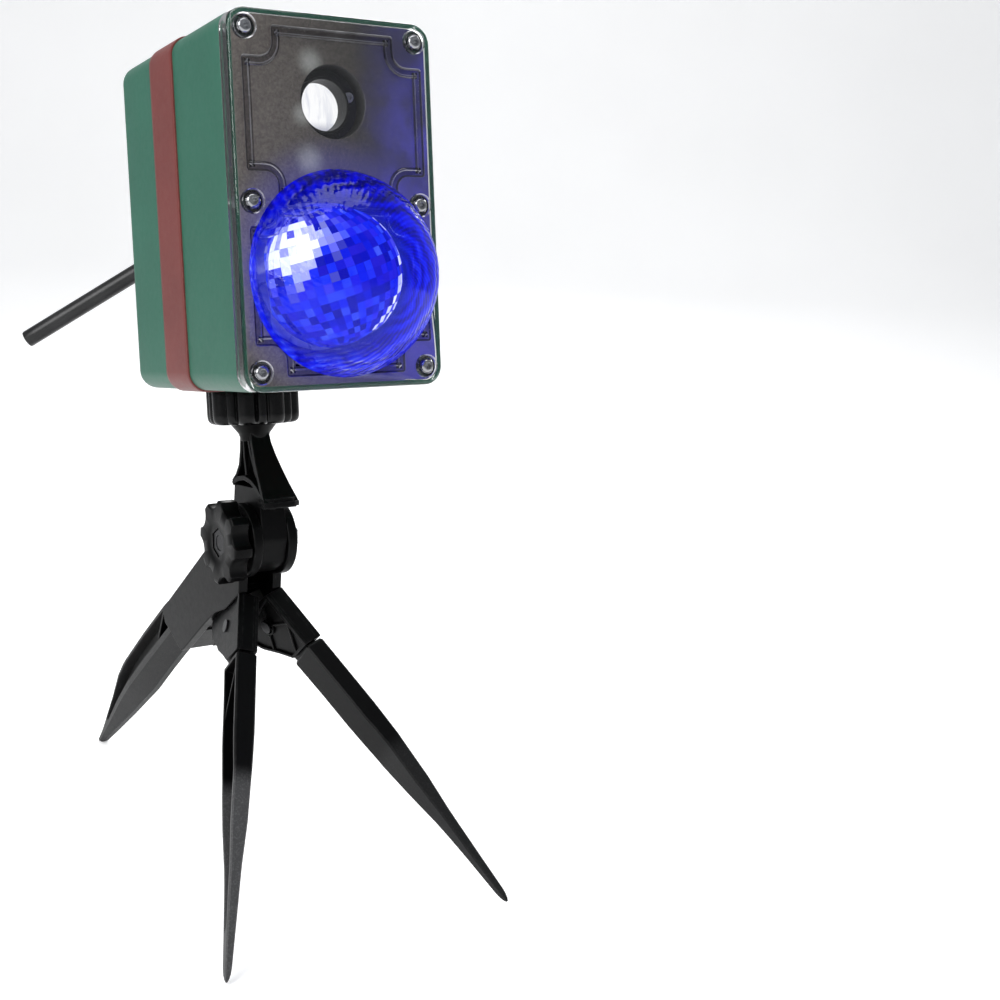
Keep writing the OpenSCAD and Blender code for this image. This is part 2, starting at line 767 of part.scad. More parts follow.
// what is cut out of a bracket
module pin_pocket() {
    // slot for the leg
    side_plate(-2.2, 2.2, [[-9.2, -60], [60, -60], [60, 12.3], [-9.2, 12.3]]);
    at_hinge() x_rod(pin_r + tight_gap, -12, 12);
    // two pockets on the inner side
    for (pocket = [[[-9.4, -11], [-2, -11], [-9.4, -2.6]],
                   [[-9.4, 0.4], [-4.4, 5], [-4.4, 11], [-9.4, 11]]])
        side_plate(-6, -3.1, pocket);
}
module sleeve() {
    sleeve_w = 18;
    // the cheek deepens towards the leg brackets
    cheek = [[11.7, 0], [-12, -4], [-17.6, -13], [-16.8, -34], [-14, -55],
             [-12.9, -81], [-12.4, -84], [-1.5, -88.8], [5.4, -92.4], [11.7, -90.8]];
    end_wall = [[-12.6, -62], [-12.2, -83], [-1.5, -88.4], [5.4, -92],
                [11.5, -90.4], [11.5, -62]];
    // clevis ears and sleeve cheeks
    for (side = [-1, 1]) translate([side * ear_x, 0, 0]) {
        x_rod(ear_r, -ear_half, ear_half);
        side_plate(-ear_half, ear_half, cheek);
    }
    // floor, top wall and end wall
    translate([-sleeve_w / 2, -12.6, -83]) cube([sleeve_w, 3, 65]);
    translate([-sleeve_w / 2, 8.5, -90.4]) cube([sleeve_w, 3, 60]);
    side_plate(-sleeve_w / 2, sleeve_w / 2, end_wall);
}
module main_stake() {
    tongue_room = ear_x - ear_half;
    color(stake_black) intersection() {
        difference() {
            union() {
                along_spike() {
                    sleeve();
                    spike_body();
                }
                // leg brackets, kept to the underside of the sleeve
                intersection() {
                    both_sides() at_pin() pin_block();
                    along_spike() translate([-40, -60, -80]) cube([80, 49, 100]);
                }
            }
            both_sides() at_pin() pin_pocket();
            at_pivot() x_rod(bolt_r + tight_gap, -13, 13);
            // room for the neck's tongue to swing
            along_spike() x_rod(15, -tongue_room, tongue_room);
        }
        above_ground();
    }
}
module right_leg_shape() intersection() {
    at_pin() leg_blade();
    above_ground();
}
module right_leg() color(stake_black) right_leg_shape();
module left_leg() color(stake_black) mirror([1, 0, 0]) right_leg_shape();
module leg_pins() {
    end_x = 5;
    head_r = 2.6;
    head_x = 4.31;           // just clear of the bracket's faces
    color(pale_metal) both_sides() at_pin() at_hinge() {
        x_rod(pin_r, -end_x, end_x);
        x_rod(head_r, -end_x, -head_x);
        x_rod(head_r, head_x, end_x);
    }
}

housing_shell();
ribbon_wrap();
ribbon_bow();
front_cover();
cover_gasket();
cover_screws();
inner_panel();
dome_lens();
wave_rotor();
rotor_motor();
motor_bracket();
wave_led_board();
lens_barrel();
projection_lens();
barrel_screws();
image_slide();
condenser_lens();
picture_led_board();
heat_sink();
driver_board();
board_screws();
cord_gland();
gland_locknut();
cord_seal();
power_cord();
locking_collar();
neck();
tilt_bolt();
bolt_washer();
tilt_knob();
knob_nut();
main_stake();
left_leg();
right_leg();
leg_pins();
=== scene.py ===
# A picture and wave-light projector shaped like a gift box, on a ground stake with two legs.
# The row frame is in metres, +Z up, with the clear cover facing -Y and the cord leaving at +Y.
# The green box leans back on its collar and neck. The spike slopes down and back from the
# tilt bolt, and the two legs reach forwards to either side.
import bpy
import bmesh
import random
from math import acos, atan2, copysign, cos, degrees, exp, pi, radians, sin, sqrt, tan
from mathutils import Matrix, Vector
from mathutils.geometry import delaunay_2d_cdt

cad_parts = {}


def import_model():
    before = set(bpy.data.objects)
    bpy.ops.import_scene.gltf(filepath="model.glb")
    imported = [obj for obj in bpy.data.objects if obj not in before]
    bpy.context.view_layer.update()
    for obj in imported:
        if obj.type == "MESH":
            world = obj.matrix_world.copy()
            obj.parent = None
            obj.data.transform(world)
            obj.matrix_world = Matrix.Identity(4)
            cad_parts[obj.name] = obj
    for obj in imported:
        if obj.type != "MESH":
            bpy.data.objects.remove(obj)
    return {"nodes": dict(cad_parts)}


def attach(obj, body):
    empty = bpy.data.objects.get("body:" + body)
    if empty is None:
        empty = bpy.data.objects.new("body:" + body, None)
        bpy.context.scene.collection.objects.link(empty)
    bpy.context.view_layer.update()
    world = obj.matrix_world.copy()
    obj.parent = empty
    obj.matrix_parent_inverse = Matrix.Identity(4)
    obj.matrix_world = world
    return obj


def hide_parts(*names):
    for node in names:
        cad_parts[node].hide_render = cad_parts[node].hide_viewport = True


cad_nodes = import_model()["nodes"]
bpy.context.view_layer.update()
random.seed(7)

# ------------------------------------------------------------------ frames
# Every frame maps its own millimetres to the row frame in metres.
PIVOT_Y, PIVOT_Z = -44, 137.3     # tilt bolt, from the row origin on the ground
HEAD_TILT = radians(-4.5)
SPIKE_LEAN = radians(53.9)
COLLAR_TOP = 60.4                 # underside of the box above the bolt, along the neck
SWIVEL_Y = 79                     # swivel axis behind the cover face
LEG_PIN = Vector((10.5, -1, -39))           # right leg, from the tilt bolt
LEG_FOOT = Vector((60, -91, -PIVOT_Z))
LEG_LENGTH = (LEG_PIN - LEG_FOOT).length

MM = Matrix.Scale(0.001, 4)
LEVEL = MM @ Matrix.Translation((0, PIVOT_Y, PIVOT_Z))
TILT = LEVEL @ Matrix.Rotation(HEAD_TILT, 4, "X")
HEAD = TILT @ Matrix.Translation((0, -SWIVEL_Y, COLLAR_TOP))   # origin at the foot of the cover
SPIKE = LEVEL @ Matrix.Rotation(SPIKE_LEAN, 4, "X")            # the spike runs along -z


def leg_frame(side):
    """Origin at the pin, +z from the foot to the pin, +x outwards; side is 1 right, -1 left."""
    upward = (LEG_PIN - LEG_FOOT).normalized()
    spike_down = Vector((0, sin(SPIKE_LEAN), -cos(SPIKE_LEAN)))
    outward = spike_down.cross(upward).normalized()
    axes = Matrix((outward, upward.cross(outward), upward)).transposed().to_4x4()
    return LEVEL @ Matrix.Diagonal((side, 1, 1, 1)) @ (Matrix.Translation(LEG_PIN) @ axes)


RIGHT_LEG, LEFT_LEG = leg_frame(1), leg_frame(-1)

# --------------------------------------------------- head sizes shared by pieces
HALF_WIDTH, HEIGHT, BACK = 40, 130, 108
EDGE = 7                  # corner radius of the box, and the rounding of its back edge
ROUND_Y = BACK - EDGE     # where the back rounding starts
DRAFT_Y, DRAFT = 7.5, 3   # the box narrows by DRAFT a side from DRAFT_Y to ROUND_Y
DOME_Z, LENS_Z, GLAND_Z = 40.6, 100.5, 60
DOME_CENTRE_Y = 6
SCREWS = [(side * 33.5, z) for z in (6.9, 65.3, 123.5) for side in (-1, 1)]


# --------------------------------------------------------- shader graphs
class Graph:
    """Short ways to lay out the nodes of one material or world."""

    def __init__(self, owner, output="OutputMaterial"):
        self.owner = owner
        owner.use_nodes = True
        self.tree = owner.node_tree
        self.tree.nodes.clear()
        self.output = self.tree.nodes.new("ShaderNode" + output)

    def put(self, socket, value):
        if isinstance(value, bpy.types.NodeSocket):
            self.tree.links.new(value, socket)
        elif isinstance(value, tuple) and len(value) == 3 and socket.type == "RGBA":
            socket.default_value = (*value, 1)
        else:
            socket.default_value = value

    def node(self, kind, inputs=None, out=0, **settings):
        made = self.tree.nodes.new("ShaderNode" + kind)
        for key, value in settings.items():
            setattr(made, key, value)
        for key, value in (inputs or {}).items():
            self.put(made.inputs[key], value)
        return made.outputs[out]

    def maths(self, operation, first, second=0.0, clamp=False):
        return self.node("Math", {0: first, 1: second, 2: 0.0}, operation=operation,
                         use_clamp=clamp)

    def add(self, first, second, clamp=False):
        return self.maths("ADD", first, second, clamp)

    def mul(self, first, second):
        return self.maths("MULTIPLY", first, second)

    def swing(self, value, amount):
        """A noise recentred on zero and scaled."""
        return self.mul(self.maths("SUBTRACT", value, 0.5), amount)

    def vector(self, operation, inputs, out=0):
        return self.node("VectorMath", inputs, out, operation=operation)

    def mix(self, factor, first, second, mode="MIX"):
        return self.node("Mix", {0: factor, 6: first, 7: second}, out=2,
                         data_type="RGBA", blend_type=mode)

    def shade(self, factor, first, second):
        return self.node("MixShader", {0: factor, 1: first, 2: second})

    def ramp(self, factor, stops):
        """Colour ramp from (position, colour) stops."""
        made = self.tree.nodes.new("ShaderNodeValToRGB")
        elements = made.color_ramp.elements
        for element, (position, colour) in zip(elements, (stops[0], stops[-1])):
            element.position, element.color = position, (*colour, 1)
        for position, colour in stops[1:-1]:
            elements.new(position).color = (*colour, 1)
        self.put(made.inputs[0], factor)
        return made.outputs[0]

    def fade(self, value, start, end, low=0.0, high=1.0):
        """Value mapped from start..end to low..high, smooth and clamped."""
        return self.node("MapRange", dict(enumerate((value, start, end, low, high))),
                         interpolation_type="SMOOTHSTEP")

    def local(self, frame=MM):
        """Position in a frame's own millimetres."""
        place = self.node("TexCoord", out=3)
        shift, turn, scale = frame.inverted().decompose()
        return self.node("Mapping", {0: place, 1: tuple(shift), 2: tuple(turn.to_euler("XYZ")),
                                     3: tuple(scale)})

    def split(self, vector):
        made = self.tree.nodes.new("ShaderNodeSeparateXYZ")
        self.put(made.inputs[0], vector)
        return made.outputs[0], made.outputs[1], made.outputs[2]

    def noise(self, place, scale, detail=3.0, rough=0.5, distortion=0.0):
        return self.node("TexNoise", {"Vector": place, "Scale": scale, "Detail": detail,
                                      "Roughness": rough, "Distortion": distortion})

    def distance(self, place, point):
        return self.vector("DISTANCE", {0: place, 1: point}, out=1)

    def bump(self, height, strength, depth):
        return self.node("Bump", {"Height": height, "Strength": strength, "Distance": depth})

    def clear(self, tint):
        return self.node("BsdfTransparent", {"Color": tint})

    def glossy(self, tint, rough, **more):
        return self.node("BsdfGlossy", {"Color": tint, "Roughness": rough, **more})

    def glow(self, colour, strength=1.0):
        return self.node("Emission", {"Color": colour, "Strength": strength})

    def shadow_or_diffuse(self):
        """1 for the rays that should pass straight through a clear piece."""
        path = self.tree.nodes.new("ShaderNodeLightPath").outputs
        return self.maths("MAXIMUM", path["Is Shadow Ray"], path["Is Diffuse Ray"])

    def principled(self, **inputs):
        """Principled shader; underscores in the input names stand for spaces."""
        return self.node("BsdfPrincipled", {k.replace("_", " "): v for k, v in inputs.items()})

    def finish(self, shader):
        self.tree.links.new(shader, self.output.inputs[0])
        return self.owner


def new_graph(name):
    return Graph(bpy.data.materials.new(name))


def srgb(*channels):
    """Linear colour from 0-255 display values."""
    def linear(value):
        value /= 255
        return value / 12.92 if value <= 0.04045 else ((value + 0.055) / 1.055) ** 2.4
    return tuple(linear(value) for value in channels)


def tinted(colour, gain, lift=0.0):
    return tuple(min(1, value * gain + lift) for value in colour)


# --------------------------------------------------------------- materials
def plastic(name, colour, rough, grain, grain_depth, drift=0.06, spec=0.5, wear_and_highlight=0.0,
            wear_and_highlight_colour=None, mottle=0.0, coat=0.0, frame=MM, far=None):
    """Moulded plastic: spark texture, slow colour drift, flow marks, and paler edges
    that are partly rubbed wear and partly painted highlight.

    far is (start z, end z, grey) of a coarser, paler texture further along the piece: its specks
    are grain, its paler grey is painted light.
    """
    mat = new_graph(name)
    place = mat.local(frame)
    slow = mat.noise(place, scale=0.035, rough=0.6)
    medium = mat.noise(place, scale=0.4, detail=4.0, rough=0.6)
    fine = mat.noise(place, scale=grain, detail=4.0, rough=0.65)
    shown = mat.mix(mat.fade(slow, start=0.3, end=0.7),
                    tinted(colour, 1 - drift), tinted(colour, 1 + drift))
    if mottle:
        specks = mat.mul(mat.fade(fine, start=0.4, end=0.62), mottle)
        shown = mat.mix(specks, shown, tinted(colour, gain=1.9, lift=0.004))
    roughness = mat.add(mat.swing(medium, amount=0.16), rough)
    roughness = mat.add(mat.swing(fine, amount=0.12), roughness, clamp=True)
    if wear_and_highlight:
        # paler edges, partly rubbed wear and partly painted highlight, where the rounded normal
        # leaves the true one
        rounded = mat.node("Bevel", {"Radius": 0.0007}, samples=4)
        normal = mat.node("NewGeometry", out=1)
        agreement = mat.vector("DOT_PRODUCT", {0: rounded, 1: normal}, out=1)
        edge = mat.fade(agreement, start=0.995, end=0.93)
        rubbed_and_lit = mat.mul(edge, mat.fade(medium, start=0.35, end=0.7))
        shown = mat.mix(mat.mul(rubbed_and_lit, wear_and_highlight), shown,
                        wear_and_highlight_colour or tinted(colour, gain=2.2, lift=0.02))
    # painted light: the piece turns a paler grey further along, with coarser specks of grain
    if far:
        start, end, grey = far
        beyond = mat.fade(mat.split(place)[2], start=start, end=end)
        shown = mat.mix(beyond, shown, (grey, grey, grey * 1.02))
        specks = mat.mul(mat.fade(fine, start=0.45, end=0.7), 0.5)
        shown = mat.mix(mat.mul(beyond, specks), shown, (grey * 2.2,) * 3)
    height = mat.add(fine, mat.mul(medium, 0.5))
    inputs = dict(Base_Color=shown, Roughness=roughness, Specular_IOR_Level=spec,
                  Normal=mat.bump(height, strength=0.55, depth=grain_depth * 0.001))
    if coat:
        inputs.update(Coat_Weight=coat, Coat_Roughness=0.18)
    return mat.finish(mat.principled(**inputs))


def metal(name, colour, rough, stretch=(1, 1, 1)):
    """Metal with brushed roughness (drawn out by stretch) and slow dark patches."""
    mat = new_graph(name)
    place = mat.local()
    stretched = mat.vector("MULTIPLY", {0: place, 1: stretch})
    brushed = mat.noise(stretched, scale=3.0, detail=4.0, rough=0.6)
    patches = mat.noise(place, scale=0.7, rough=0.6)
    shown = mat.mix(mat.fade(patches, start=0.35, end=0.7), tinted(colour, gain=0.82), colour)
    roughness = mat.add(mat.swing(brushed, amount=0.25), rough, clamp=True)
    return mat.finish(mat.principled(Base_Color=shown, Roughness=roughness, Metallic=1.0,
                                     Normal=mat.bump(brushed, strength=0.3, depth=0.00002)))


# the paler edge colours given below are partly rubbed wear and partly painted highlight
# what the black mouldings of the stake have in common
STAKE_LOOK = dict(colour=srgb(4, 4, 4.4), grain=1.3, grain_depth=0.03, drift=0.12,
                  wear_and_highlight=0.5, wear_and_highlight_colour=(0.04, 0.04, 0.04), mottle=0.10)

GREEN = plastic("shell_green_m", srgb(41, 99, 80), rough=0.42, grain=1.7, grain_depth=0.025,
                drift=0.05, wear_and_highlight=0.25, wear_and_highlight_colour=srgb(110, 160, 140), mottle=0.05, frame=HEAD)
GLAND = plastic("gland_green_m", srgb(24, 122, 90), rough=0.36, grain=1.7, grain_depth=0.02,
                drift=0.05, wear_and_highlight=0.25, frame=HEAD)
RED = plastic("ribbon_red_m", srgb(113, 53, 49), rough=0.44, grain=1.6, grain_depth=0.03,
              drift=0.07, wear_and_highlight=0.35, wear_and_highlight_colour=srgb(168, 110, 102), mottle=0.08, frame=HEAD)
BOW = plastic("bow_red_m", srgb(120, 57, 52), rough=0.42, grain=1.4, grain_depth=0.03,
              drift=0.08, wear_and_highlight=0.3, wear_and_highlight_colour=srgb(180, 120, 112), mottle=0.08, frame=HEAD)
BLACK = plastic("stake_black_m", rough=0.36, spec=0.12, **STAKE_LOOK)
GLOSS = plastic("collar_black_m", srgb(4, 4, 4.6), rough=0.22, spec=0.22, grain=0.9,
                grain_depth=0.006, drift=0.1, wear_and_highlight=0.35, wear_and_highlight_colour=(0.09, 0.09, 0.09),
                mottle=0.03, coat=0.12)
INNER = plastic("inner_plastic_m", srgb(12, 12, 14), rough=0.38, grain=2.0, grain_depth=0.015)
RUBBER = plastic("rubber_black_m", srgb(28, 28, 28), rough=0.7, grain=1.8, grain_depth=0.03,
                 spec=0.3)
BOARD = plastic("board_white_m", srgb(225, 228, 222), rough=0.45, grain=2.4, grain_depth=0.01)
CIRCUIT = plastic("board_green_m", srgb(40, 110, 62), rough=0.35, grain=1.2, grain_depth=0.02,
                  mottle=0.3)
STEEL = metal("screw_steel_m", (0.50, 0.51, 0.53), rough=0.22)
NUT = metal("knob_nut_m", (0.06, 0.06, 0.063), rough=0.42)
PINS = metal("leg_pins_m", (0.07, 0.07, 0.074), rough=0.34)
LIT_STEEL = plastic("screw_lit_m", srgb(200, 202, 208), rough=0.25, grain=2.0,
                    grain_depth=0.01, spec=0.9, mottle=0.2)
MOTOR_CAN = metal("motor_can_m", (0.62, 0.62, 0.65), rough=0.3)
ALUMINIUM = metal("heat_sink_m", (0.75, 0.76, 0.78), rough=0.36, stretch=(1, 1, 0.05))


def cord_material():
    mat = new_graph("cord_black_m")
    place = mat.local(HEAD)
    slow = mat.noise(place, scale=0.08, rough=0.6)
    fine = mat.noise(place, scale=1.4, detail=4.0, rough=0.6)
    shown = mat.mix(mat.fade(slow, start=0.35, end=0.7), srgb(16, 16, 17), srgb(30, 30, 31))
    roughness = mat.add(mat.mul(fine, 0.2), 0.26)
    height = mat.add(fine, mat.mul(slow, 3.0))
    return mat.finish(mat.principled(Base_Color=shown, Roughness=roughness,
                                     Specular_IOR_Level=0.5,
                                     Normal=mat.bump(height, strength=0.5, depth=0.00005)))


def cover_material():
    """Clear moulding: refracts what is behind it, lets light through, faint flow marks."""
    mat = new_graph("cover_clear_m")
    place = mat.local(HEAD)
    waves = mat.noise(place, scale=0.05, detail=2.0)
    fine = mat.noise(place, scale=0.9, rough=0.6)
    height = mat.add(mat.mul(waves, 4.0), mat.mul(fine, 0.15))
    normal = mat.bump(height, strength=0.25, depth=0.00006)
    roughness = mat.fade(fine, start=0.45, end=0.8, low=0.02, high=0.09)
    glass = mat.principled(Base_Color=(0.93, 0.935, 0.93), Roughness=roughness, IOR=1.47,
                           Transmission_Weight=1.0, Normal=normal)
    clear = mat.clear((0.90, 0.905, 0.90))
    return mat.finish(mat.shade(mat.shadow_or_diffuse(), glass, clear))


def edge_material(name, tint, glare):
    """Step faces of the clear moulding: a darker tint paints shade on them, a paler tint with
    more gloss paints a highlight.
    """
    mat = new_graph(name)
    place = mat.local(HEAD)
    slow = mat.noise(place, scale=0.08, rough=0.6)
    fine = mat.noise(place, scale=1.2, rough=0.6)
    clear = mat.clear(tint)
    roughness = mat.fade(fine, start=0.3, end=0.8, low=0.10, high=0.3)
    gloss = mat.glossy((0.9, 0.9, 0.92), roughness)
    share = mat.mul(mat.fade(slow, start=0.3, end=0.7, low=0.5, high=1.3), glare)
    return mat.finish(mat.shade(share, clear, gloss))


CORD = cord_material()
COVER = cover_material()
EDGE_PAINTED_SHADE = edge_material("cover_step_painted_shade_m", tint=(0.16, 0.15, 0.17), glare=0.10)
EDGE_PAINTED_HIGHLIGHT = edge_material("cover_step_painted_highlight_m", tint=(0.62, 0.60, 0.68), glare=0.40)
EDGE_BAND = edge_material("cover_band_m", tint=(0.60, 0.60, 0.62), glare=0.03)


def panel_material():
    """Dark panel behind the cover, with a painted sheen fading from left to right, and the soft
    light and blue glow that fall on it, painted as emission.
    """
    face_y = 2.2
    # light pools: (centre, radius, strength)
    pools = [((-8.5, face_y, 113.6), 6.5, 0.34), ((-12.5, face_y, 95.5), 5.5, 0.30),
             ((-10.5, face_y, 80.0), 7.5, 0.30)]
    mat = new_graph("panel_dark_m")
    place = mat.local(HEAD)
    x, _, z = mat.split(place)
    fine = mat.noise(place, scale=1.15, detail=4.0, rough=0.75)
    slow = mat.noise(place, scale=0.06, rough=0.6)
    # painted sheen: pale on the left to dark on the right, over a width of 76 mm
    across = mat.add(mat.mul(x, 1 / 76), 0.5)
    across = mat.add(across, mat.swing(slow, amount=0.25))
    base = mat.ramp(across, [(0.0, srgb(134, 125, 119)), (0.35, srgb(106, 99, 94)),
                             (0.7, srgb(62, 58, 56)), (1.0, srgb(30, 29, 32))])
    base = mat.mix(mat.fade(fine, start=0.35, end=0.68), mat.mix(0.55, (0, 0, 0), base), base)
    # blue light scattered from the dome towards the right, and in a ring round it
    blue = mat.mul(mat.fade(x, start=6.0, end=36.0),
                   mat.fade(z, start=135.0, end=76.0, low=0.35, high=1.0))
    ring = mat.fade(mat.distance(place, (0, face_y, DOME_Z)), start=50.0, end=36.0)
    cloud = mat.fade(slow, start=0.35, end=0.65, low=0.4, high=1.0)
    blue = mat.add(mat.mul(blue, cloud), mat.mul(ring, 0.35))
    white = None
    for centre, radius, strength in pools:
        pool = mat.mul(mat.fade(mat.distance(place, centre), start=radius, end=0.5), strength)
        white = mat.add(white, pool) if white else pool
    light = mat.mix(1.0, mat.vector("SCALE", {0: (0.10, 0.09, 0.75), "Scale": blue}),
                    mat.vector("SCALE", {0: (0.92, 1.0, 1.0), "Scale": white}), "ADD")
    roughness = mat.fade(fine, start=0.3, end=0.8, low=0.35, high=0.6)
    return mat.finish(mat.principled(
        Base_Color=base, Roughness=roughness, Specular_IOR_Level=0.5, Emission_Color=light,
        Emission_Strength=0.5, Normal=mat.bump(fine, strength=0.6, depth=0.00004)))


def dome_material():
    """Blue lit outer dome: glossy, with swirl lens lines that strengthen to the rim."""
    mat = new_graph("dome_blue_m")
    place = mat.local(HEAD @ Matrix.Translation((0, DOME_CENTRE_Y, DOME_Z)))
    x, _, z = mat.split(place)
    radius = mat.maths("SQRT", mat.add(mat.mul(x, x), mat.mul(z, z)))
    angle = mat.maths("ARCTAN2", z, x)
    wobble = mat.noise(place, scale=0.07, rough=0.6)
    # fine spiral lines, then broad waves: phase from radius, angle and wobble
    phase = mat.add(mat.mul(radius, 2.9), mat.mul(angle, 62.0))
    lines = mat.maths("SINE", mat.add(phase, mat.mul(wobble, 9.0)))
    phase = mat.add(mat.mul(radius, 1.3), mat.mul(wobble, 18.0))
    waves = mat.maths("SINE", mat.add(phase, mat.mul(angle, 4.0)))
    rim = mat.fade(radius, start=20.0, end=32.0)
    height = mat.mul(mat.add(mat.mul(lines, 0.5), waves), rim)
    normal = mat.bump(height, strength=0.45, depth=0.0004)
    # clear where seen face on, lit blue where seen at a slant, more so on the right
    slant = mat.node("LayerWeight", {"Blend": 0.5}, out=1)
    slant = mat.add(slant, mat.fade(x, start=-16.0, end=16.0, low=0.0, high=0.12))
    slant = mat.fade(slant, start=0.25, end=0.56)
    clear = mat.clear(mat.mix(slant, (0.66, 0.72, 1.0), (0.20, 0.24, 1.0)))
    # painted blue light also glows in the clear middle of the dome
    clear = mat.node("AddShader", {0: clear, 1: mat.glow((0.0, 0.002, 0.30))})
    # painted light: the glow dims towards the top and is a little brighter on the left
    top = mat.fade(z, start=6.0, end=33.0)
    tone = mat.add(mat.mul(lines, 0.10), mat.mul(waves, 0.22))
    tone = mat.add(tone, mat.fade(x, start=-30.0, end=10.0, low=0.58, high=0.50))
    tone = mat.maths("SUBTRACT", tone, mat.mul(top, 0.34))
    blue = mat.ramp(tone, [(0.0, (0.0, 0.0, 0.13)), (0.25, (0.0, 0.0, 0.40)),
                           (0.5, (0.0, 0.001, 0.78)), (0.8, (0.006, 0.02, 1.0)),
                           (1.0, (0.10, 0.20, 1.0))])
    body = mat.shade(mat.mul(slant, 0.96), clear, mat.glow(blue))
    gloss = mat.glossy((0.95, 0.97, 1.0), 0.05, Normal=normal)
    fresnel = mat.node("Fresnel", {"IOR": 1.5, "Normal": normal})
    surface = mat.shade(mat.mul(fresnel, 0.55), body, gloss)
    passing = mat.clear((0.55, 0.6, 1.0))
    return mat.finish(mat.shade(mat.shadow_or_diffuse(), surface, passing))


def rotor_material():
    """Faceted inner lens glowing with painted light; the "tone" attribute gives each facet its
    glow tone, violet and painted white glint.
    """
    mat = new_graph("rotor_facets_m")
    facet = mat.node("Attribute", attribute_name="tone", attribute_type="GEOMETRY")
    tone, violet, painted_glint = [mat.node("SeparateColor", {0: facet}, out=k) for k in range(3)]
    cloud = mat.noise(mat.local(HEAD), scale=0.09, rough=0.6)
    tone = mat.add(mat.mul(tone, 0.92), mat.swing(cloud, amount=0.35))
    colour = mat.ramp(tone, [(0.0, (0.0, 0.0, 0.17)), (0.28, (0.001, 0.003, 0.42)),
                             (0.52, (0.006, 0.022, 0.86)), (0.74, (0.02, 0.055, 1.0)),
                             (0.9, (0.07, 0.14, 1.0)), (1.0, (0.24, 0.36, 1.0))])
    colour = mat.mix(mat.mul(violet, 0.55), colour, (0.06, 0.03, 0.80))
    colour = mat.mix(painted_glint, colour, (1.0, 1.0, 1.0))
    light = mat.glow(colour, mat.add(0.72, mat.mul(painted_glint, 1.1)))
    gloss = mat.glossy((0.25, 0.3, 1.0), 0.12)
    share = mat.mul(mat.node("Fresnel", {"IOR": 1.4}), 0.5)
    return mat.finish(mat.shade(share, light, gloss))


def lens_material():
    """Lit white lens with streaks along z, greyer at its lower edge."""
    mat = new_graph("lens_lit_m")
    place = mat.local(HEAD)
    z = mat.split(place)[2]
    stretched = mat.vector("MULTIPLY", {0: place, 1: (0.55, 1.0, 0.10)})
    streak = mat.noise(stretched, scale=0.6, rough=0.55, distortion=0.6)
    slant = mat.node("LayerWeight", {"Blend": 0.35}, out=1)
    colour = mat.ramp(streak, [(0.2, (0.62, 0.64, 0.74)), (0.5, (0.98, 0.98, 1.0)),
                               (1.0, (1, 1, 1))])
    colour = mat.mix(mat.fade(z, start=96.0, end=91.5), colour, (0.45, 0.46, 0.55))
    light = mat.glow(colour, strength=1.15)
    gloss = mat.glossy((1, 1, 1), 0.04)
    return mat.finish(mat.shade(mat.mul(slant, 0.25), light, gloss))


def clear_material(name, tint):
    mat = new_graph(name)
    fine = mat.noise(mat.local(), scale=0.8, rough=0.6)
    clear = mat.clear(tint)
    gloss = mat.glossy((0.9, 0.92, 0.95), mat.fade(fine, start=0.3, end=0.8, low=0.05,
                                                   high=0.05 + 0.12))
    return mat.finish(mat.shade(mat.node("Fresnel", {"IOR": 1.5}), clear, gloss))


PANEL = panel_material()
DOME = dome_material()
ROTOR = rotor_material()
LENS = lens_material()
CLEAR = clear_material("clear_part_m", (0.82, 0.86, 0.92))
FILM = clear_material("slide_film_m", (0.25, 0.30, 0.85))


# ----------------------------------------------------------- mesh building
def add_bevel(obj, width, segments, angle):
    bevel = obj.modifiers.new("bevel", "BEVEL")
    bevel.width = width
    bevel.segments = segments
    bevel.limit_method = "ANGLE"
    bevel.angle_limit = radians(angle)
    bevel.use_clamp_overlap = True
    return bevel


def bake(obj):
    bpy.context.view_layer.update()
    depsgraph = bpy.context.evaluated_depsgraph_get()
    mesh = bpy.data.meshes.new_from_object(obj.evaluated_get(depsgraph))
    obj.modifiers.clear()
    before = obj.data
    obj.data = mesh
    bpy.data.meshes.remove(before)


# how an outline (u, v) at height h lies in its frame
def along_x(u, v, h):
    return (h, u, v)


def along_y(u, v, h):
    return (u, h, v)


def along_z(u, v, h):
    return (u, v, h)


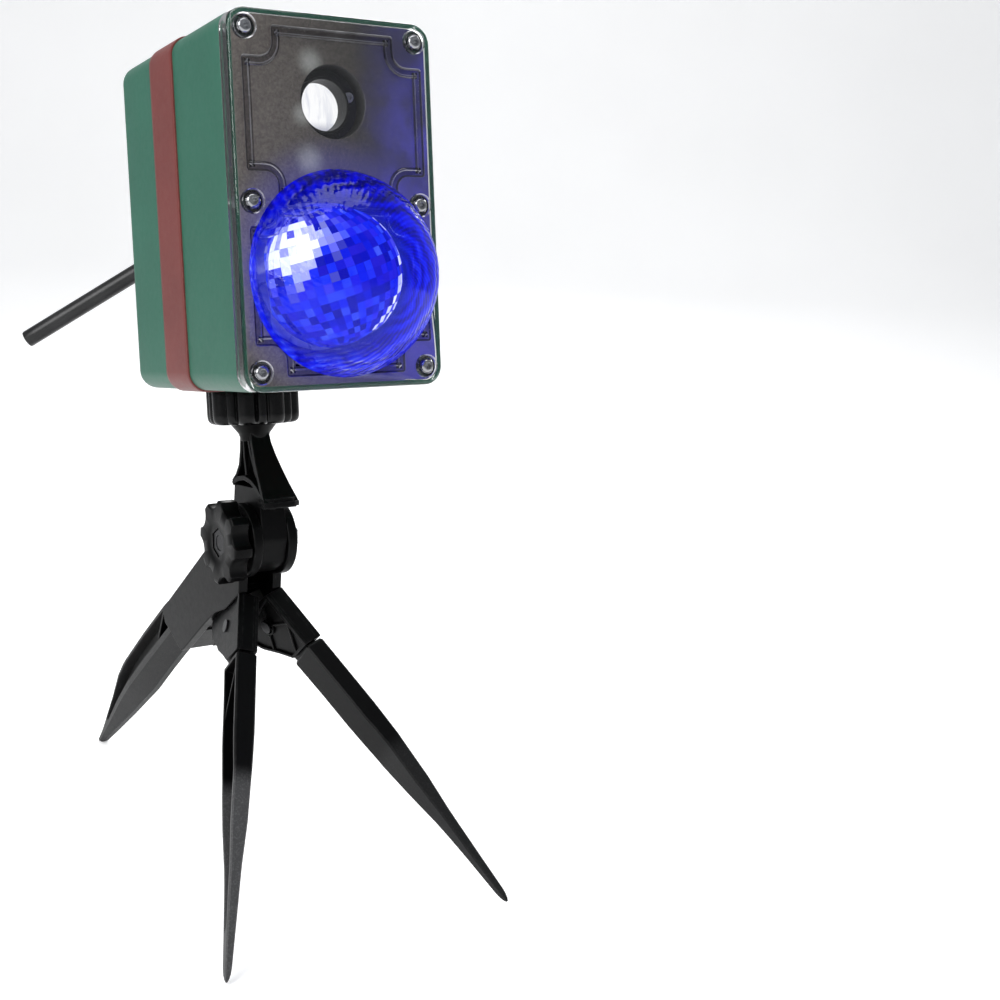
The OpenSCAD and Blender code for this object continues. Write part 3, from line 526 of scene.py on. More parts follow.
class Part:
    """Shells of one piece, in a frame's own millimetres. A shell is (vertices, faces)."""

    def __init__(self, name, body, slot, materials, frame=HEAD):
        self.name, self.body, self.slot, self.frame = name, body, slot, frame
        self.materials = materials if isinstance(materials, list) else [materials]
        self.verts, self.faces, self.indices = [], [], []

    def add(self, *shells, mat=0, flip=False):
        for verts, faces in shells:
            base = len(self.verts)
            self.verts += [Vector(p) for p in verts]
            for face in faces:
                face = [base + i for i in face]
                self.faces.append(face[::-1] if flip else face)
                self.indices.append(mat)

    def bands(self, stations, mats=None, to=along_y):
        """Walls between successive (loop, height) stations, one material index each."""
        for i, (first, second) in enumerate(zip(stations, stations[1:])):
            self.add(wall(*first, *second, to), mat=mats[i] if mats else 0)

    def make(self, bevel=0.0, segments=2, sharp=35, cut=(), replaces=None):
        mesh = bpy.data.meshes.new(self.name)
        mesh.from_pydata([tuple(self.frame @ p) for p in self.verts], [], self.faces)
        for material in self.materials:
            mesh.materials.append(material)
        mesh.polygons.foreach_set("material_index", self.indices)
        work = bmesh.new()
        work.from_mesh(mesh)
        bmesh.ops.remove_doubles(work, verts=work.verts, dist=1e-7)
        bmesh.ops.recalc_face_normals(work, faces=work.faces)
        work.to_mesh(mesh)
        work.free()
        obj = bpy.data.objects.new(self.name, mesh)
        bpy.context.scene.collection.objects.link(obj)
        for tool in cut:
            boolean = obj.modifiers.new("cut", "BOOLEAN")
            boolean.operation = "DIFFERENCE"
            boolean.solver = "EXACT"
            boolean.object = tool
        if cut:
            bake(obj)
        mesh = obj.data
        mesh.polygons.foreach_set("use_smooth", [True] * len(mesh.polygons))
        if bevel:
            add_bevel(obj, bevel * 0.001, segments, angle=30).harden_normals = True
        else:
            mesh.set_sharp_from_angle(angle=radians(sharp))
        if self.body:
            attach(obj, self.body)
            if replaces:
                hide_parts(replaces)
        return obj


def cutter(shell):
    part = Part("cutter", None, None, GREEN)
    part.add(shell)
    return part.make()


def drop(*objects):
    for obj in objects:
        bpy.data.objects.remove(obj, do_unlink=True)


def loft(loops, start_cap=True, ring=False):
    """Closed loops of equal length, joined in order."""
    n, count = len(loops[0]), len(loops)
    verts = [p for loop in loops for p in loop]
    faces = []
    for k in range(count if ring else count - 1):
        near, far = k * n, ((k + 1) % count) * n
        for i in range(n):
            j = (i + 1) % n
            faces.append([near + i, near + j, far + j, far + i])
    if not ring:
        if start_cap:
            faces.append(list(range(n))[::-1])
        faces.append([(count - 1) * n + i for i in range(n)])
    return verts, faces


def prism(outline, low, high, to=along_z):
    n = len(outline)
    verts = [to(*p, h) for h in (low, high) for p in outline]
    faces = [list(range(n))[::-1], [n + i for i in range(n)]]
    for i in range(n):
        j = (i + 1) % n
        faces.append([i, j, n + j, n + i])
    return verts, faces


def box(x0, x1, y0, y1, z0, z1):
    return prism([(x0, y0), (x1, y0), (x1, y1), (x0, y1)], z0, z1)


def lathe(profile, n=48, centre=(0, 0), to=along_y):
    """(radius, height) profile turned about an axis; a radius of 0 makes a pole."""
    verts, faces, rows = [], [], []
    for radius, height in profile:
        steps = n if radius >= 1e-6 else 1
        reach = radius if steps > 1 else 0
        rows.append(list(range(len(verts), len(verts) + steps)))
        for i in range(steps):
            t = 2 * pi * i / n
            verts.append(to(centre[0] + reach * cos(t), centre[1] + reach * sin(t), height))
    for row, after in zip(rows, rows[1:]):
        for i in range(n):
            j = (i + 1) % n
            if len(row) == 1:
                faces.append([row[0], after[j], after[i]])
            elif len(after) == 1:
                faces.append([row[i], row[j], after[0]])
            else:
                faces.append([row[i], row[j], after[j], after[i]])
    return verts, faces


def fillet(corners, radii, n=8):
    """Polygon with rounded corners: one radius per corner, 0 keeps it sharp."""
    points = []
    for i, radius in enumerate(radii):
        corner, before = Vector(corners[i]), Vector(corners[i - 1])
        after = Vector(corners[(i + 1) % len(corners)])
        back, ahead = (before - corner).normalized(), (after - corner).normalized()
        angle = back.angle(ahead)
        if radius <= 0 or angle > pi - 1e-3:
            points.append(tuple(corner))
            continue
        cut = min(radius / tan(angle / 2), (before - corner).length * 0.49,
                  (after - corner).length * 0.49)
        radius = cut * tan(angle / 2)
        centre = corner + (back + ahead).normalized() * (radius / sin(angle / 2))
        start, end = corner + back * cut - centre, corner + ahead * cut - centre
        first = atan2(start.y, start.x)
        sweep = atan2(end.y, end.x) - first
        while sweep > pi:
            sweep -= 2 * pi
        while sweep < -pi:
            sweep += 2 * pi
        for k in range(n + 1):
            t = first + sweep * k / n
            points.append((centre.x + radius * cos(t), centre.y + radius * sin(t)))
    return points


def offset(loop, inset):
    """Counter-clockwise loop moved inwards along its own normals."""
    points = []
    for i in range(len(loop)):
        before, here, after = [Vector(loop[k]) for k in (i - 1, i, (i + 1) % len(loop))]
        edge_in, edge_out = here - before, after - here
        if edge_in.length < 1e-9:
            edge_in = edge_out
        if edge_out.length < 1e-9:
            edge_out = edge_in
        edge_in, edge_out = edge_in.normalized(), edge_out.normalized()
        normal_in = Vector((-edge_in.y, edge_in.x))
        normal = normal_in + Vector((-edge_out.y, edge_out.x))
        if normal.length > 1e-6:
            normal = normal / max(0.25, normal.dot(normal_in))
        else:
            normal = normal_in
        points.append((here.x + normal.x * inset, here.y + normal.y * inset))
    return points


def circle(radius, centre=(0, 0), n=48, start=0.0):
    angles = [start + 2 * pi * i / n for i in range(n)]
    return [(centre[0] + radius * cos(t), centre[1] + radius * sin(t)) for t in angles]


def inside(x, y, loop):
    hit = False
    for i in range(len(loop)):
        (x0, y0), (x1, y1) = loop[i - 1], loop[i]
        if (y0 > y) != (y1 > y) and x < x0 + (y - y0) * (x1 - x0) / (y1 - y0):
            hit = not hit
    return hit


def sheet(outer, holes, height, to=along_y):
    """Flat face with holes."""
    points, edges = [], []
    for loop in [outer] + holes:
        base = len(points)
        points += [Vector(p) for p in loop]
        edges += [(base + i, base + (i + 1) % len(loop)) for i in range(len(loop))]
    result = delaunay_2d_cdt(points, edges, [], 0, 1e-6)
    faces = []
    for face in result[2]:
        x = sum(result[0][i].x for i in face) / len(face)
        y = sum(result[0][i].y for i in face) / len(face)
        if inside(x, y, outer) and not any(inside(x, y, loop) for loop in holes):
            faces.append(list(face))
    return [to(p.x, p.y, height) for p in result[0]], faces


def disc(loop, height, to=along_y):
    return [to(*p, height) for p in loop], [list(range(len(loop)))]


def wall(loop0, height0, loop1, height1, to=along_y):
    n = len(loop0)
    verts = [to(*p, height0) for p in loop0] + [to(*p, height1) for p in loop1]
    return verts, [[i, (i + 1) % n, n + (i + 1) % n, n + i] for i in range(n)]


def round_rect(half_width, z0, z1, radius, n=8):
    """Rounded rectangle in (x, z), counter-clockwise."""
    corners = [(-half_width, z0), (half_width, z0), (half_width, z1), (-half_width, z1)]
    return fillet(corners, [radius] * 4, n)


def quarter(n):
    """Angles of a quarter turn in n steps, without the start."""
    return [pi / 2 * k / n for k in range(1, n + 1)]


def clamp(value):
    return max(0.0, min(1.0, value))


def interp(table, x):
    """Straight-line value from (x, value) rows, held beyond both ends."""
    for (x0, y0), (x1, y1) in zip(table, table[1:]):
        if x <= x1:
            return y0 + (y1 - y0) * clamp((x - x0) / (x1 - x0))
    return table[-1][1]


# ============================================================ green box
def draft(y):
    return clamp((y - DRAFT_Y) / (ROUND_Y - DRAFT_Y))


def top_z(y):
    return HEIGHT - DRAFT * draft(y)


def box_loop(y, grow=0.0):
    """Outline of the drafted box at depth y, grown outwards."""
    t = draft(y)
    inset = 0.0
    if y > ROUND_Y:
        inset = EDGE - sqrt(max(0.0, EDGE ** 2 - (y - ROUND_Y) ** 2))
    outline = round_rect(HALF_WIDTH - DRAFT * t - inset + grow, DRAFT / 2 * t + inset - grow,
                         HEIGHT - DRAFT * t - inset + grow, max(EDGE - inset + grow, 0.05))
    return [(x, y, z) for x, z in outline]


def housing(notch):
    stations = [7.0, 7.25, 8, 20, 35, 50, 72, 88, ROUND_Y]
    stations += [ROUND_Y + EDGE * sin(t) for t in quarter(9)]
    outer = [box_loop(y, -0.25 if y == 7.0 else 0.0) for y in stations]
    # inside: (depth, share of the draft)
    inner = [[(x, y, z) for x, z in round_rect(37.5 - DRAFT * t, 2.5 + DRAFT / 2 * t,
                                               127.5 - DRAFT * t, 4.5)]
             for y, t in ((7.0, 0), (60, 0.55), (105.4, 1.0))]
    part = Part("housing_shell_v", "head", "shell_green", GREEN)
    part.add(loft(outer, start_cap=False))
    part.add(loft(inner, start_cap=False), flip=True)
    # rim joining the outside to the inside at the open front
    n = len(outer[0])
    base = len(outer) * n
    part.faces += [[i, (i + 1) % n, base + (i + 1) % n, base + i] for i in range(n)]
    part.indices += [0] * n
    part.make(sharp=40, cut=[notch], replaces="housing_shell")

    part = Part("swivel_socket", "head", "shell_green", INNER)
    part.add(lathe([(7, -9), (11.4, -9), (12, -8.4), (12, 3.9), (7, 3.9), (7, -9)], 64,
                   centre=(0, SWIVEL_Y), to=along_z))
    part.make(sharp=40)


def ribbons(notch, seat):
    thick = 0.7
    # (depth, height above the box) round the ribbon's section
    section = [(50.0, -0.3), (50.0, thick - 0.3), (50.06, thick - 0.12), (50.28, thick),
               (52, thick), (61, thick), (70, thick), (71.72, thick), (71.94, thick - 0.12),
               (72.0, thick - 0.3), (72.0, -0.3)]
    part = Part("ribbon_band", "head", "ribbon_red", RED)
    part.add(loft([box_loop(y, grow) for y, grow in section], ring=True))
    part.make(sharp=40, cut=[seat], replaces="ribbon_wrap")

    # centre line over the top, down the back and under: y, z, normal y, normal z
    path = [(y, top_z(y), 0, 1) for y in (12, 12.4, 30, 50, 72, 90, ROUND_Y)]
    path += [(ROUND_Y + EDGE * sin(t), 120 + EDGE * cos(t), sin(t), cos(t)) for t in quarter(9)]
    path += [(BACK, z, 1, 0) for z in (100, 80, 60, 40, 20, 8.5)]
    path += [(ROUND_Y + EDGE * cos(t), 8.5 - EDGE * sin(t), cos(t), -sin(t))
             for t in quarter(9)]
    path += [(95, 1.4, 0, -1), (88, 1.3, 0, -1)]
    # (x, height above the box) across the ribbon
    section = [(-11, -0.3), (-11, 0.4), (-10.94, 0.56), (-10.72, 0.68), (-5, 0.68), (5, 0.68),
               (10.72, 0.68), (10.94, 0.56), (11, 0.4), (11, -0.3)]
    rows = []
    for i, (y, z, normal_y, normal_z) in enumerate(path):
        limit = 0.35 if i in (0, len(path) - 1) else 1.0
        rows.append([(x, y + normal_y * min(h, limit), z + normal_z * min(h, limit))
                     for x, h in section])
    part = Part("ribbon_centre", "head", "ribbon_red", RED)
    part.add(loft(rows))
    part.make(sharp=40, cut=[notch, seat])


# ---------------------------------------------------------------- bow
BOW_Y = 61


def relief(rows):
    """Grid of points closed by an underside sunk into the lid."""
    last, end, width = len(rows) - 1, len(rows[0]) - 1, len(rows[0])
    verts = [p for row in rows for p in row]
    faces = [[i * width + j, i * width + j + 1, (i + 1) * width + j + 1, (i + 1) * width + j]
             for i in range(last) for j in range(end)]
    base = len(verts)
    verts += [(x, y, top_z(y) - 0.4) for x, y, _ in verts]
    faces += [[base + i for i in face][::-1] for face in faces]
    border = [(0, j) for j in range(end)] + [(i, end) for i in range(last)]
    border += [(last, end - j) for j in range(end)] + [(last - i, 0) for i in range(last)]
    border = [i * width + j for i, j in border]
    for here, after in zip(border, border[1:] + border[:1]):
        faces.append([here, after, base + after, base + here])
    return verts, faces


def bow_loop(side, length_steps=30, cross_steps=26):
    rows = []
    for i in range(length_steps + 1):
        s = i / length_steps
        x = 3.5 + 28.0 * s
        half = 9.2 * (sin(pi * min(1, (s * 0.90 + 0.10))) ** 0.62) * (0.42 + 0.62 * s) + 0.15
        if s > 0.86:      # rounded tip
            half *= sqrt(max(0.0, 1 - ((s - 0.86) / 0.14) ** 2)) * 0.92 + 0.02
        row = []
        for j in range(cross_steps + 1):
            t = -1 + 2 * j / cross_steps
            y = BOW_Y + 1.2 * s + half * t
            crown = (1 - abs(t) ** 2.6) ** 0.7
            height = 3.1 * crown * (0.75 + 0.35 * sin(pi * s))
            # gathers near the knot, and one ridge running out from it
            fold = 0.34 * cos(t * 15.0 + 1.0) * exp(-((s - 0.18) / 0.30) ** 2) * crown
            fold += 0.55 * exp(-((t - 0.12 - 0.5 * s) / 0.13) ** 2) * (1 - s) * crown
            height = max(0.0, height + fold) * min(1.0, (1 - s) * 9 + 0.12)
            row.append((side * x, y, top_z(y) + 0.1 + height))
        rows.append(row)
    return relief(rows)


def bow_tail(side, length_steps=22, cross_steps=10):
    start, end = Vector((3.0, 64.0)), Vector((20.5, 80.5))
    ahead = (end - start).normalized()
    across = Vector((-ahead.y, ahead.x))
    length = (end - start).length
    rows = []
    for i in range(length_steps + 1):
        s = i / length_steps
        row = []
        for j in range(cross_steps + 1):
            t = -1 + 2 * j / cross_steps
            along = s * (length - 3.4 * (1 - abs(t)) * s ** 3)      # notched end
            sideways = (3.0 + 1.7 * s) * t + 1.1 * sin(pi * s * 1.1)
            point = start + ahead * along + across * sideways
            height = 1.9 * (1 - abs(t) ** 3.5 * 0.55) * (1 - 0.45 * s)
            height += 0.30 * cos(3.2 * t + 5 * s) * (1 - s)
            row.append((side * point.x, point.y, top_z(point.y) + 0.1 + max(0.5, height)))
        rows.append(row)
    return relief(rows)


def bow_knot(rise_steps=18, round_steps=36):
    power = 2 / 2.9      # squared-off oval
    rows = []
    for i in range(rise_steps + 1):
        rise = pi / 2 * i / rise_steps
        row = []
        for j in range(round_steps):
            t = 2 * pi * j / round_steps
            x = 6.4 * copysign(abs(cos(t)) ** power, cos(t)) * cos(rise) ** 0.7
            y = 7.2 * copysign(abs(sin(t)) ** power, sin(t)) * cos(rise) ** 0.7
            height = 3.6 * sin(rise) ** 0.75
            height += 0.32 * cos((x * 0.8 + y * 0.55) * 1.5) * sin(rise)
            row.append((x, BOW_Y + y, top_z(BOW_Y + y) - 0.3 + height))
        rows.append(row)
    return loft(rows)


def bow():
    part = Part("bow_relief", "head", "ribbon_red", BOW)
    for side in (-1, 1):
        part.add(bow_loop(side), bow_tail(side))
    part.add(bow_knot())
    part.make(sharp=62, replaces="ribbon_bow")


# -------------------------------------------------------- clear front cover
def recess(z0, z1, low_pad, high_pad):
    """Outline of one recessed field, stepped in round the pads at its corners."""
    wide, narrow = 35.6, 24.0
    up, down = z1 - high_pad, z0 + low_pad
    corners = [(-narrow, z0), (narrow, z0), (narrow, down), (wide, down), (wide, up),
               (narrow, up), (narrow, z1), (-narrow, z1), (-narrow, up), (-wide, up),
               (-wide, down), (-narrow, down)]
    return fillet(corners, [1.2, 1.2, 7.5] * 4, 6)


def front_cover():
    back, inner_face, rim_radius, seat_y = 6.95, 1.85, 1.5, 1.4
    clear, dark, light, band = range(4)      # material indices; dark paints shade and light paints a highlight on the steps
    part = Part("front_cover_v", "head", "cover_clear",
                [COVER, EDGE_PAINTED_SHADE, EDGE_PAINTED_HIGHLIGHT, EDGE_BAND])
    outline = round_rect(HALF_WIDTH, 0, HEIGHT, EDGE, 10)
    fields = [recess(66.5, 124.6, low_pad=8.8, high_pad=10.6),
              recess(5.0, 64.0, low_pad=11.0, high_pad=7.2)]
    # skirt with a rounded rim
    skirt = [(outline, back), (outline, 4.0), (outline, rim_radius)]
    skirt += [(offset(outline, rim_radius - rim_radius * cos(t)),
               rim_radius - rim_radius * sin(t)) for t in quarter(6)]
    part.bands(skirt)
    part.add(sheet(skirt[-1][0], fields + [circle(4.3, at, 40) for at in SCREWS], 0.0))
    # dished ring and counterbore round each screw, with a painted highlight on the outer dish and
    # painted shadow on the slope into the counterbore
    dish = [(4.3, 0), (3.9, 0.3), (3.1, 0.45), (2.9, 0.7), (2.9, seat_y)]      # radius, y
    for at in SCREWS:
        part.bands([(circle(r, at, 40), y) for r, y in dish], (light, clear, dark, clear))
        hole = circle(1.7, at, 40)
        part.add(sheet(circle(2.9, at, 40), [hole], seat_y))
        part.add(wall(hole, seat_y, hole, back))
    # moulded steps into each field: inset, y
    steps = [(0.10, 0.05), (0.45, 0.34), (0.75, 0.42), (2.3, 0.44), (2.45, 0.36),
             (2.7, 0.30), (2.95, 0.32), (3.15, 0.46), (3.4, 0.70), (3.6, 0.78)]
    # on the step faces, light is painted highlight and dark is painted shade
    step_mats = (light, dark, dark, band, light, light, band, dark, dark, band)
    for field in fields:
        stations = [(field, 0.0)] + [(offset(field, inset), y) for inset, y in steps]
        part.bands(stations, step_mats)
        part.add(sheet(stations[-1][0], [], stations[-1][1]))
    # inside faces and screw bosses
    inner = offset(outline, 1.8)
    part.bands([(outline, back), (inner, back), (inner, inner_face)])
    bosses = [circle(4.0, at, 40) for at in SCREWS]
    part.add(sheet(inner, bosses, inner_face))
    for at, boss in zip(SCREWS, bosses):
        part.add(wall(boss, inner_face, boss, back))
        part.add(sheet(boss, [circle(1.7, at, 40)], back))
    bore = cutter(lathe([(0, -3), (35.9, -3), (35.9, 4), (0, 4)], 128, centre=(0, DOME_Z)))
    part.make(sharp=25, cut=[bore], replaces="front_cover")
    drop(bore)


# ---------------------------------------------------------------- screws
def add_screw(part, x, z, front, radius, head, end, shank):
    """Pan-head screw with a six-lobed socket; front and end are depths, shank a radius."""
    n = 36
    socket = radius * 0.5
    part.add(lathe([(socket, front), (radius * 0.62, front), (radius * 0.80, front + head * 0.10),
                    (radius * 0.94, front + head * 0.35), (radius, front + head * 0.7),
                    (radius, front + head), (shank, front + head), (shank, end),
                    (0, end + shank)], n, centre=(x, z)))
    star = []
    for i in range(n):
        t = 2 * pi * i / n
        reach = socket * (1 - 0.13 * (1 - cos(6 * t)))
        star.append((x + reach * cos(t), z + reach * sin(t)))
    floor_star = [(x + (u - x) * 0.93, z + (v - z) * 0.93) for u, v in star]
    part.bands([(circle(socket, (x, z), n), front), (star, front + 0.02),
                (floor_star, front + head * 0.75)])
    part.add(disc(floor_star, front + head * 0.75))


def screws():
    part = Part("cover_screws_v", "head", "screw_steel", STEEL)
    for x, z in SCREWS:
        add_screw(part, x, z, front=-0.45, radius=2.6, head=1.85, end=22, shank=1.44)
    part.make(sharp=35, replaces="cover_screws")
    part = Part("barrel_screws_v", "head", "screw_steel", LIT_STEEL)
    for side in (1, -1):
        add_screw(part, side * 13.6, LENS_Z + side * 4.6, front=13.7, radius=2.0, head=1.3,
                  end=21, shank=1.24)
    part.make(sharp=35, replaces="barrel_screws")


# ------------------------------------------------- panel, lens, dome, rotor
def inner_panel():
    front, back = 2.2, 3.8

    def holes(lens_radius):
        return ([circle(34.2, (0, DOME_Z), 96), circle(lens_radius, (0, LENS_Z), 72)]
                + [circle(4.3, at, 36) for at in SCREWS])

    part = Part("inner_panel_v", "head", "panel_dark", [PANEL, INNER])
    outline = round_rect(37.9, 2.1, 127.9, 4.9)
    front_holes, back_holes = holes(13.15), holes(12.9)
    part.add(sheet(outline, front_holes, front), sheet(outline, back_holes, back))
    part.add(wall(outline, front, outline, back))
    for i, (near, far) in enumerate(zip(front_holes, back_holes)):
        if i == 1:      # chamfer at the lens hole
            part.bands([(near, front), (far, 2.42), (far, back)], (0, 1))
        else:
            part.add(wall(near, front, far, back))
    part.add(lathe([(12.95, 2.9), (12.95, 8.4), (14.4, 8.4), (14.4, 3.7)], 72,
                   centre=(0, LENS_Z)), mat=1)
    part.make(sharp=30, replaces="inner_panel")


def projection_lens():
    part = Part("projection_lens_v", "head", "lens_glass", LENS)
    profile = [(0, 14.4)] + [(9.2 * k / 10, 14.4 + 1.2 * (k / 10) ** 2) for k in range(1, 11)]
    part.add(lathe(profile + [(9.25, 15.8), (9.25, 17.4), (0, 17.4)], 72, centre=(0, LENS_Z)))
    part.make(sharp=40, replaces="projection_lens")


def dome():
    radius = 37.0
    face_angle = acos(DOME_CENTRE_Y / radius)      # where the sphere meets the cover face
    profile = []
    for k in range(49):
        t = face_angle * k / 48
        profile.append((radius * sin(t), DOME_CENTRE_Y - radius * cos(t)))
    profile += [(36.2, 0.25), (35.85, 0.6), (35.85, 2.15), (33.6, 2.15)]
    part = Part("dome_lens_v", "head", "dome_blue", DOME)
    part.add(lathe(profile, 160, centre=(0, DOME_Z)))
    part.make(sharp=50, replaces="dome_lens")


ROTOR_RADIUS = 26.0
ROTOR_CENTRE = Vector((0, 10.0, DOME_Z))
FACET_ANGLE = radians(7.2)
FACET_TURN = radians(18)      # turn of the facet grid about y


def rotor_point(u, w, radius=ROTOR_RADIUS):
    """Point at u, w facets from the middle of the turned facet grid."""
    a, c = u * FACET_ANGLE, w * FACET_ANGLE
    x, y, z = Vector((sin(a) * cos(c), -cos(a) * cos(c), sin(c)))
    turn_cos, turn_sin = cos(FACET_TURN), sin(FACET_TURN)
    direction = Vector((x * turn_cos - z * turn_sin, y, x * turn_sin + z * turn_cos))
    return direction * radius + ROTOR_CENTRE


def wave_rotor():
    """Square facets on a sphere, each with its own tilt and lit tone."""
    draws = random.Random(21)
    lamp = Vector((-0.80, -0.50, 0.33)).normalized()         # towards the white cluster
    viewer = Vector((-0.567, -0.817, 0.100)).normalized()
    viewer_right = Vector((0.8185, -0.573, -0.045)).normalized()
    part = Part("wave_rotor_v", "rotor", "rotor_clear", ROTOR)
    tones = []      # (tone, violet, painted glint) per face
    for column in range(-13, 13):
        for row in range(-12, 12):
            middle = column + 0.5, row + 0.5
            centre = rotor_point(*middle)
            if centre.y > 13.4:
                continue
            outward = (centre - ROTOR_CENTRE).normalized()
            tilt = Vector([draws.uniform(-1, 1) for _ in range(3)]) * 0.35
            sunk = rotor_point(*middle, ROTOR_RADIUS * 0.9965)
            normal = (outward + tilt * 0.28).normalized()
            face = []
            for du, dw in ((0, 0), (1, 0), (1, 1), (0, 1)):
                corner = rotor_point(column + du, row + dw)
                # pulled most of the way onto the facet's own tilted plane
                corner = corner - normal * (corner - sunk).dot(normal) * 0.85
                face.append(sunk + (corner - sunk) * 0.985)
            # painted white glint: strong near the lamp, patchy further out, and a painted
            # highlight strip at the rim
            angle = degrees(outward.angle(lamp))
            painted_glint = 0.0
            if angle < 24:
                strong = draws.random() > angle / 36
                painted_glint = draws.uniform(0.85, 1.0) if strong else draws.uniform(0.15, 0.6)
            elif angle < 46 and draws.random() > 0.35:
                painted_glint = draws.uniform(0.1, 0.55) * (46 - angle) / 22
            facing = outward.dot(viewer)
            if 0.02 < facing < 0.24 and outward.dot(viewer_right) > 0.62:
                painted_glint = draws.uniform(0.6, 1.0) if draws.random() > 0.2 else 0.1
            # side walls of the facet down to the lens body
            foot = [ROTOR_CENTRE + (p - ROTOR_CENTRE) * 0.95 for p in face]
            part.add((face, [[0, 1, 2, 3]]))
            part.add((face + foot, [[0, 4, 5, 1], [1, 5, 6, 2], [2, 6, 7, 3], [3, 7, 4, 0]]))
            tone = draws.random()
            violet = draws.random() if draws.random() > 0.6 else 0.0
            if facing > 0.9955:      # dark facet straight ahead
                tone, painted_glint = 0.0, 0.0
            # painted shade: the facet walls take a dimmer copy of the face's glow tone and glint
            tones += [(tone, violet, painted_glint)] + [(tone * 0.35, violet, painted_glint * 0.5)] * 4
    radius, centre_y = ROTOR_RADIUS * 0.955, 10.0
    profile = [(0, centre_y - radius)]
    profile += [(radius * sin(t), centre_y - radius * cos(t)) for t in quarter(24)]
    profile += [(24.8, 11.4), (24.8, 13.0), (4, 13.0), (4, 13.6), (0, 13.6)]
    body = lathe(profile, 64, centre=(0, DOME_Z))
    part.add(body)
    tones += [(0.15, 0.0, 0.0)] * len(body[1])
    mesh = part.make(sharp=12, replaces="wave_rotor").data
    attribute = mesh.color_attributes.new("tone", "FLOAT_COLOR", "CORNER")
    for polygon, tone in zip(mesh.polygons, tones):
        for corner in polygon.loop_indices:
            attribute.data[corner].color = (*tone, 1)


# ------------------------------------------------------------ gland, cord
def gland():
    part = Part("cord_gland_v", "head", "gland_green", GLAND)
    part.add(prism(circle(15, (0, GLAND_Z), 6), 108.0, 115.0, along_y))
    part.make(bevel=0.8, segments=4, replaces="cord_gland")
    part = Part("gland_neck", "head", "gland_green", GLAND)
    part.add(lathe([(10.9, 114.9), (10.9, 115.5), (10.5, 115.9), (9.5, 116.0), (9.3, 116.2),
                    (9.3, 117.4), (8.9, 118.0), (6.2, 118.0), (5.5, 117.4), (5.3, 116.8),
                    (5.3, 108.5)], 64, centre=(0, GLAND_Z)))
    part.make(sharp=40)
    part = Part("cord_seal_v", "head", "rubber_black", RUBBER)
    part.add(lathe([(5.15, 102), (5.15, 118.2), (4.9, 118.6), (4.2, 118.6), (3.7, 118.2),
                    (3.66, 102)], 48, centre=(0, GLAND_Z)))
    part.make(sharp=40, replaces="cord_seal")


def power_cord():
    """Straight out of the gland, round a bend, and a straight end."""
    radius, bend_radius = 3.6, 40
    bend_start, bend_length, bend_end = 32, 40.7, 72.7      # along the cord
    bend_angle = radians(58.3)
    # the cord's own plane, rolled about its axis
    roll = Matrix.Translation((0, 126, GLAND_Z)) @ Matrix.Rotation(radians(145.8), 4, "Y")

    def station(along):
        """Sideways place, outward place, and the direction there."""
        if along < bend_start:
            return 0, along - bend_start, 0, 1
        turn = (along - bend_start) / bend_radius if along < bend_end else bend_angle
        beyond = 0 if along < bend_end else along - bend_end
        return (bend_radius * (1 - cos(turn)) + beyond * sin(turn),
                bend_radius * sin(turn) + beyond * cos(turn), sin(turn), cos(turn))

    def ring(u, v, du, dv, reach, ahead=0.0):
        angles = [2 * pi * k / 32 for k in range(32)]
        return [tuple(roll @ Vector((u + du * ahead + reach * cos(t) * dv,
                                     v + dv * ahead - reach * cos(t) * du,
                                     reach * sin(t)))) for t in angles]

    stations = [0, 6, 12, 20, 26, bend_start]
    stations += [bend_start + i * bend_length / 24 for i in range(1, 25)]
    stations += [80, 90, 100, 110, 120, 126.2]
    rows = [ring(*station(along), radius) for along in stations]
    for reach, ahead in ((3.45, 0.35), (3.1, 0.5), (1.4, 0.5)):      # rounded end
        rows.append(ring(*station(stations[-1]), reach, ahead))
    part = Part("power_cord_v", "head", "cord_black", CORD)
    part.add(loft(rows))
    part.make(sharp=40, replaces="power_cord")


# ============================================================ collar, neck
def collar_radius(angle):
    """Outline radius: 16 lobes, wide and narrow by turns, on a plain ring."""
    best = 15.8
    for k in range(16):
        centre, lobe = (14.4, 4.0) if k % 2 == 0 else (15.3, 2.2)
        away = angle - radians(10 + 22.5 * k)
        left = lobe * lobe - (centre * sin(away)) ** 2
        if left > 0 and cos(away) > 0:
            best = max(best, centre * cos(away) + sqrt(left))
    return best


def locking_collar():
    n = 384
    angles = [2 * pi * i / n for i in range(n)]
    radii = [collar_radius(t) for t in angles]
    radii = [(radii[i - 1] + 2 * radii[i] + radii[(i + 1) % n]) / 4 for i in range(n)]
    # heights are from the collar's top: (radius, z) inside, (inset, z) outside
    lower = [(7.6, -13.2), (8.2, -14.0), (12.0, -14.0)]
    outside = [(3.4, -14.0), (2.0, -13.85), (0.95, -13.3), (0.35, -12.5), (0.08, -11.4),
               (0.0, -10.0), (0.0, -3), (0.0, -1.0), (0.15, -0.55), (0.5, -0.32)]
    upper = [(12.3, -0.32), (12.1, -0.6), (12.1, -10.8), (7.6, -10.8)]

    def row(reaches, z):
        return [(r * cos(t), r * sin(t), z + COLLAR_TOP) for r, t in zip(reaches, angles)]

    rows = [row([r] * n, z) for r, z in lower]
    rows += [row([r - inset for r in radii], z) for inset, z in outside]
    rows += [row([r] * n, z) for r, z in upper]
    part = Part("locking_collar_v", "collar", "stake_black", GLOSS, TILT)
    part.add(loft(rows, ring=True))
    part.make(sharp=40, replaces="locking_collar")


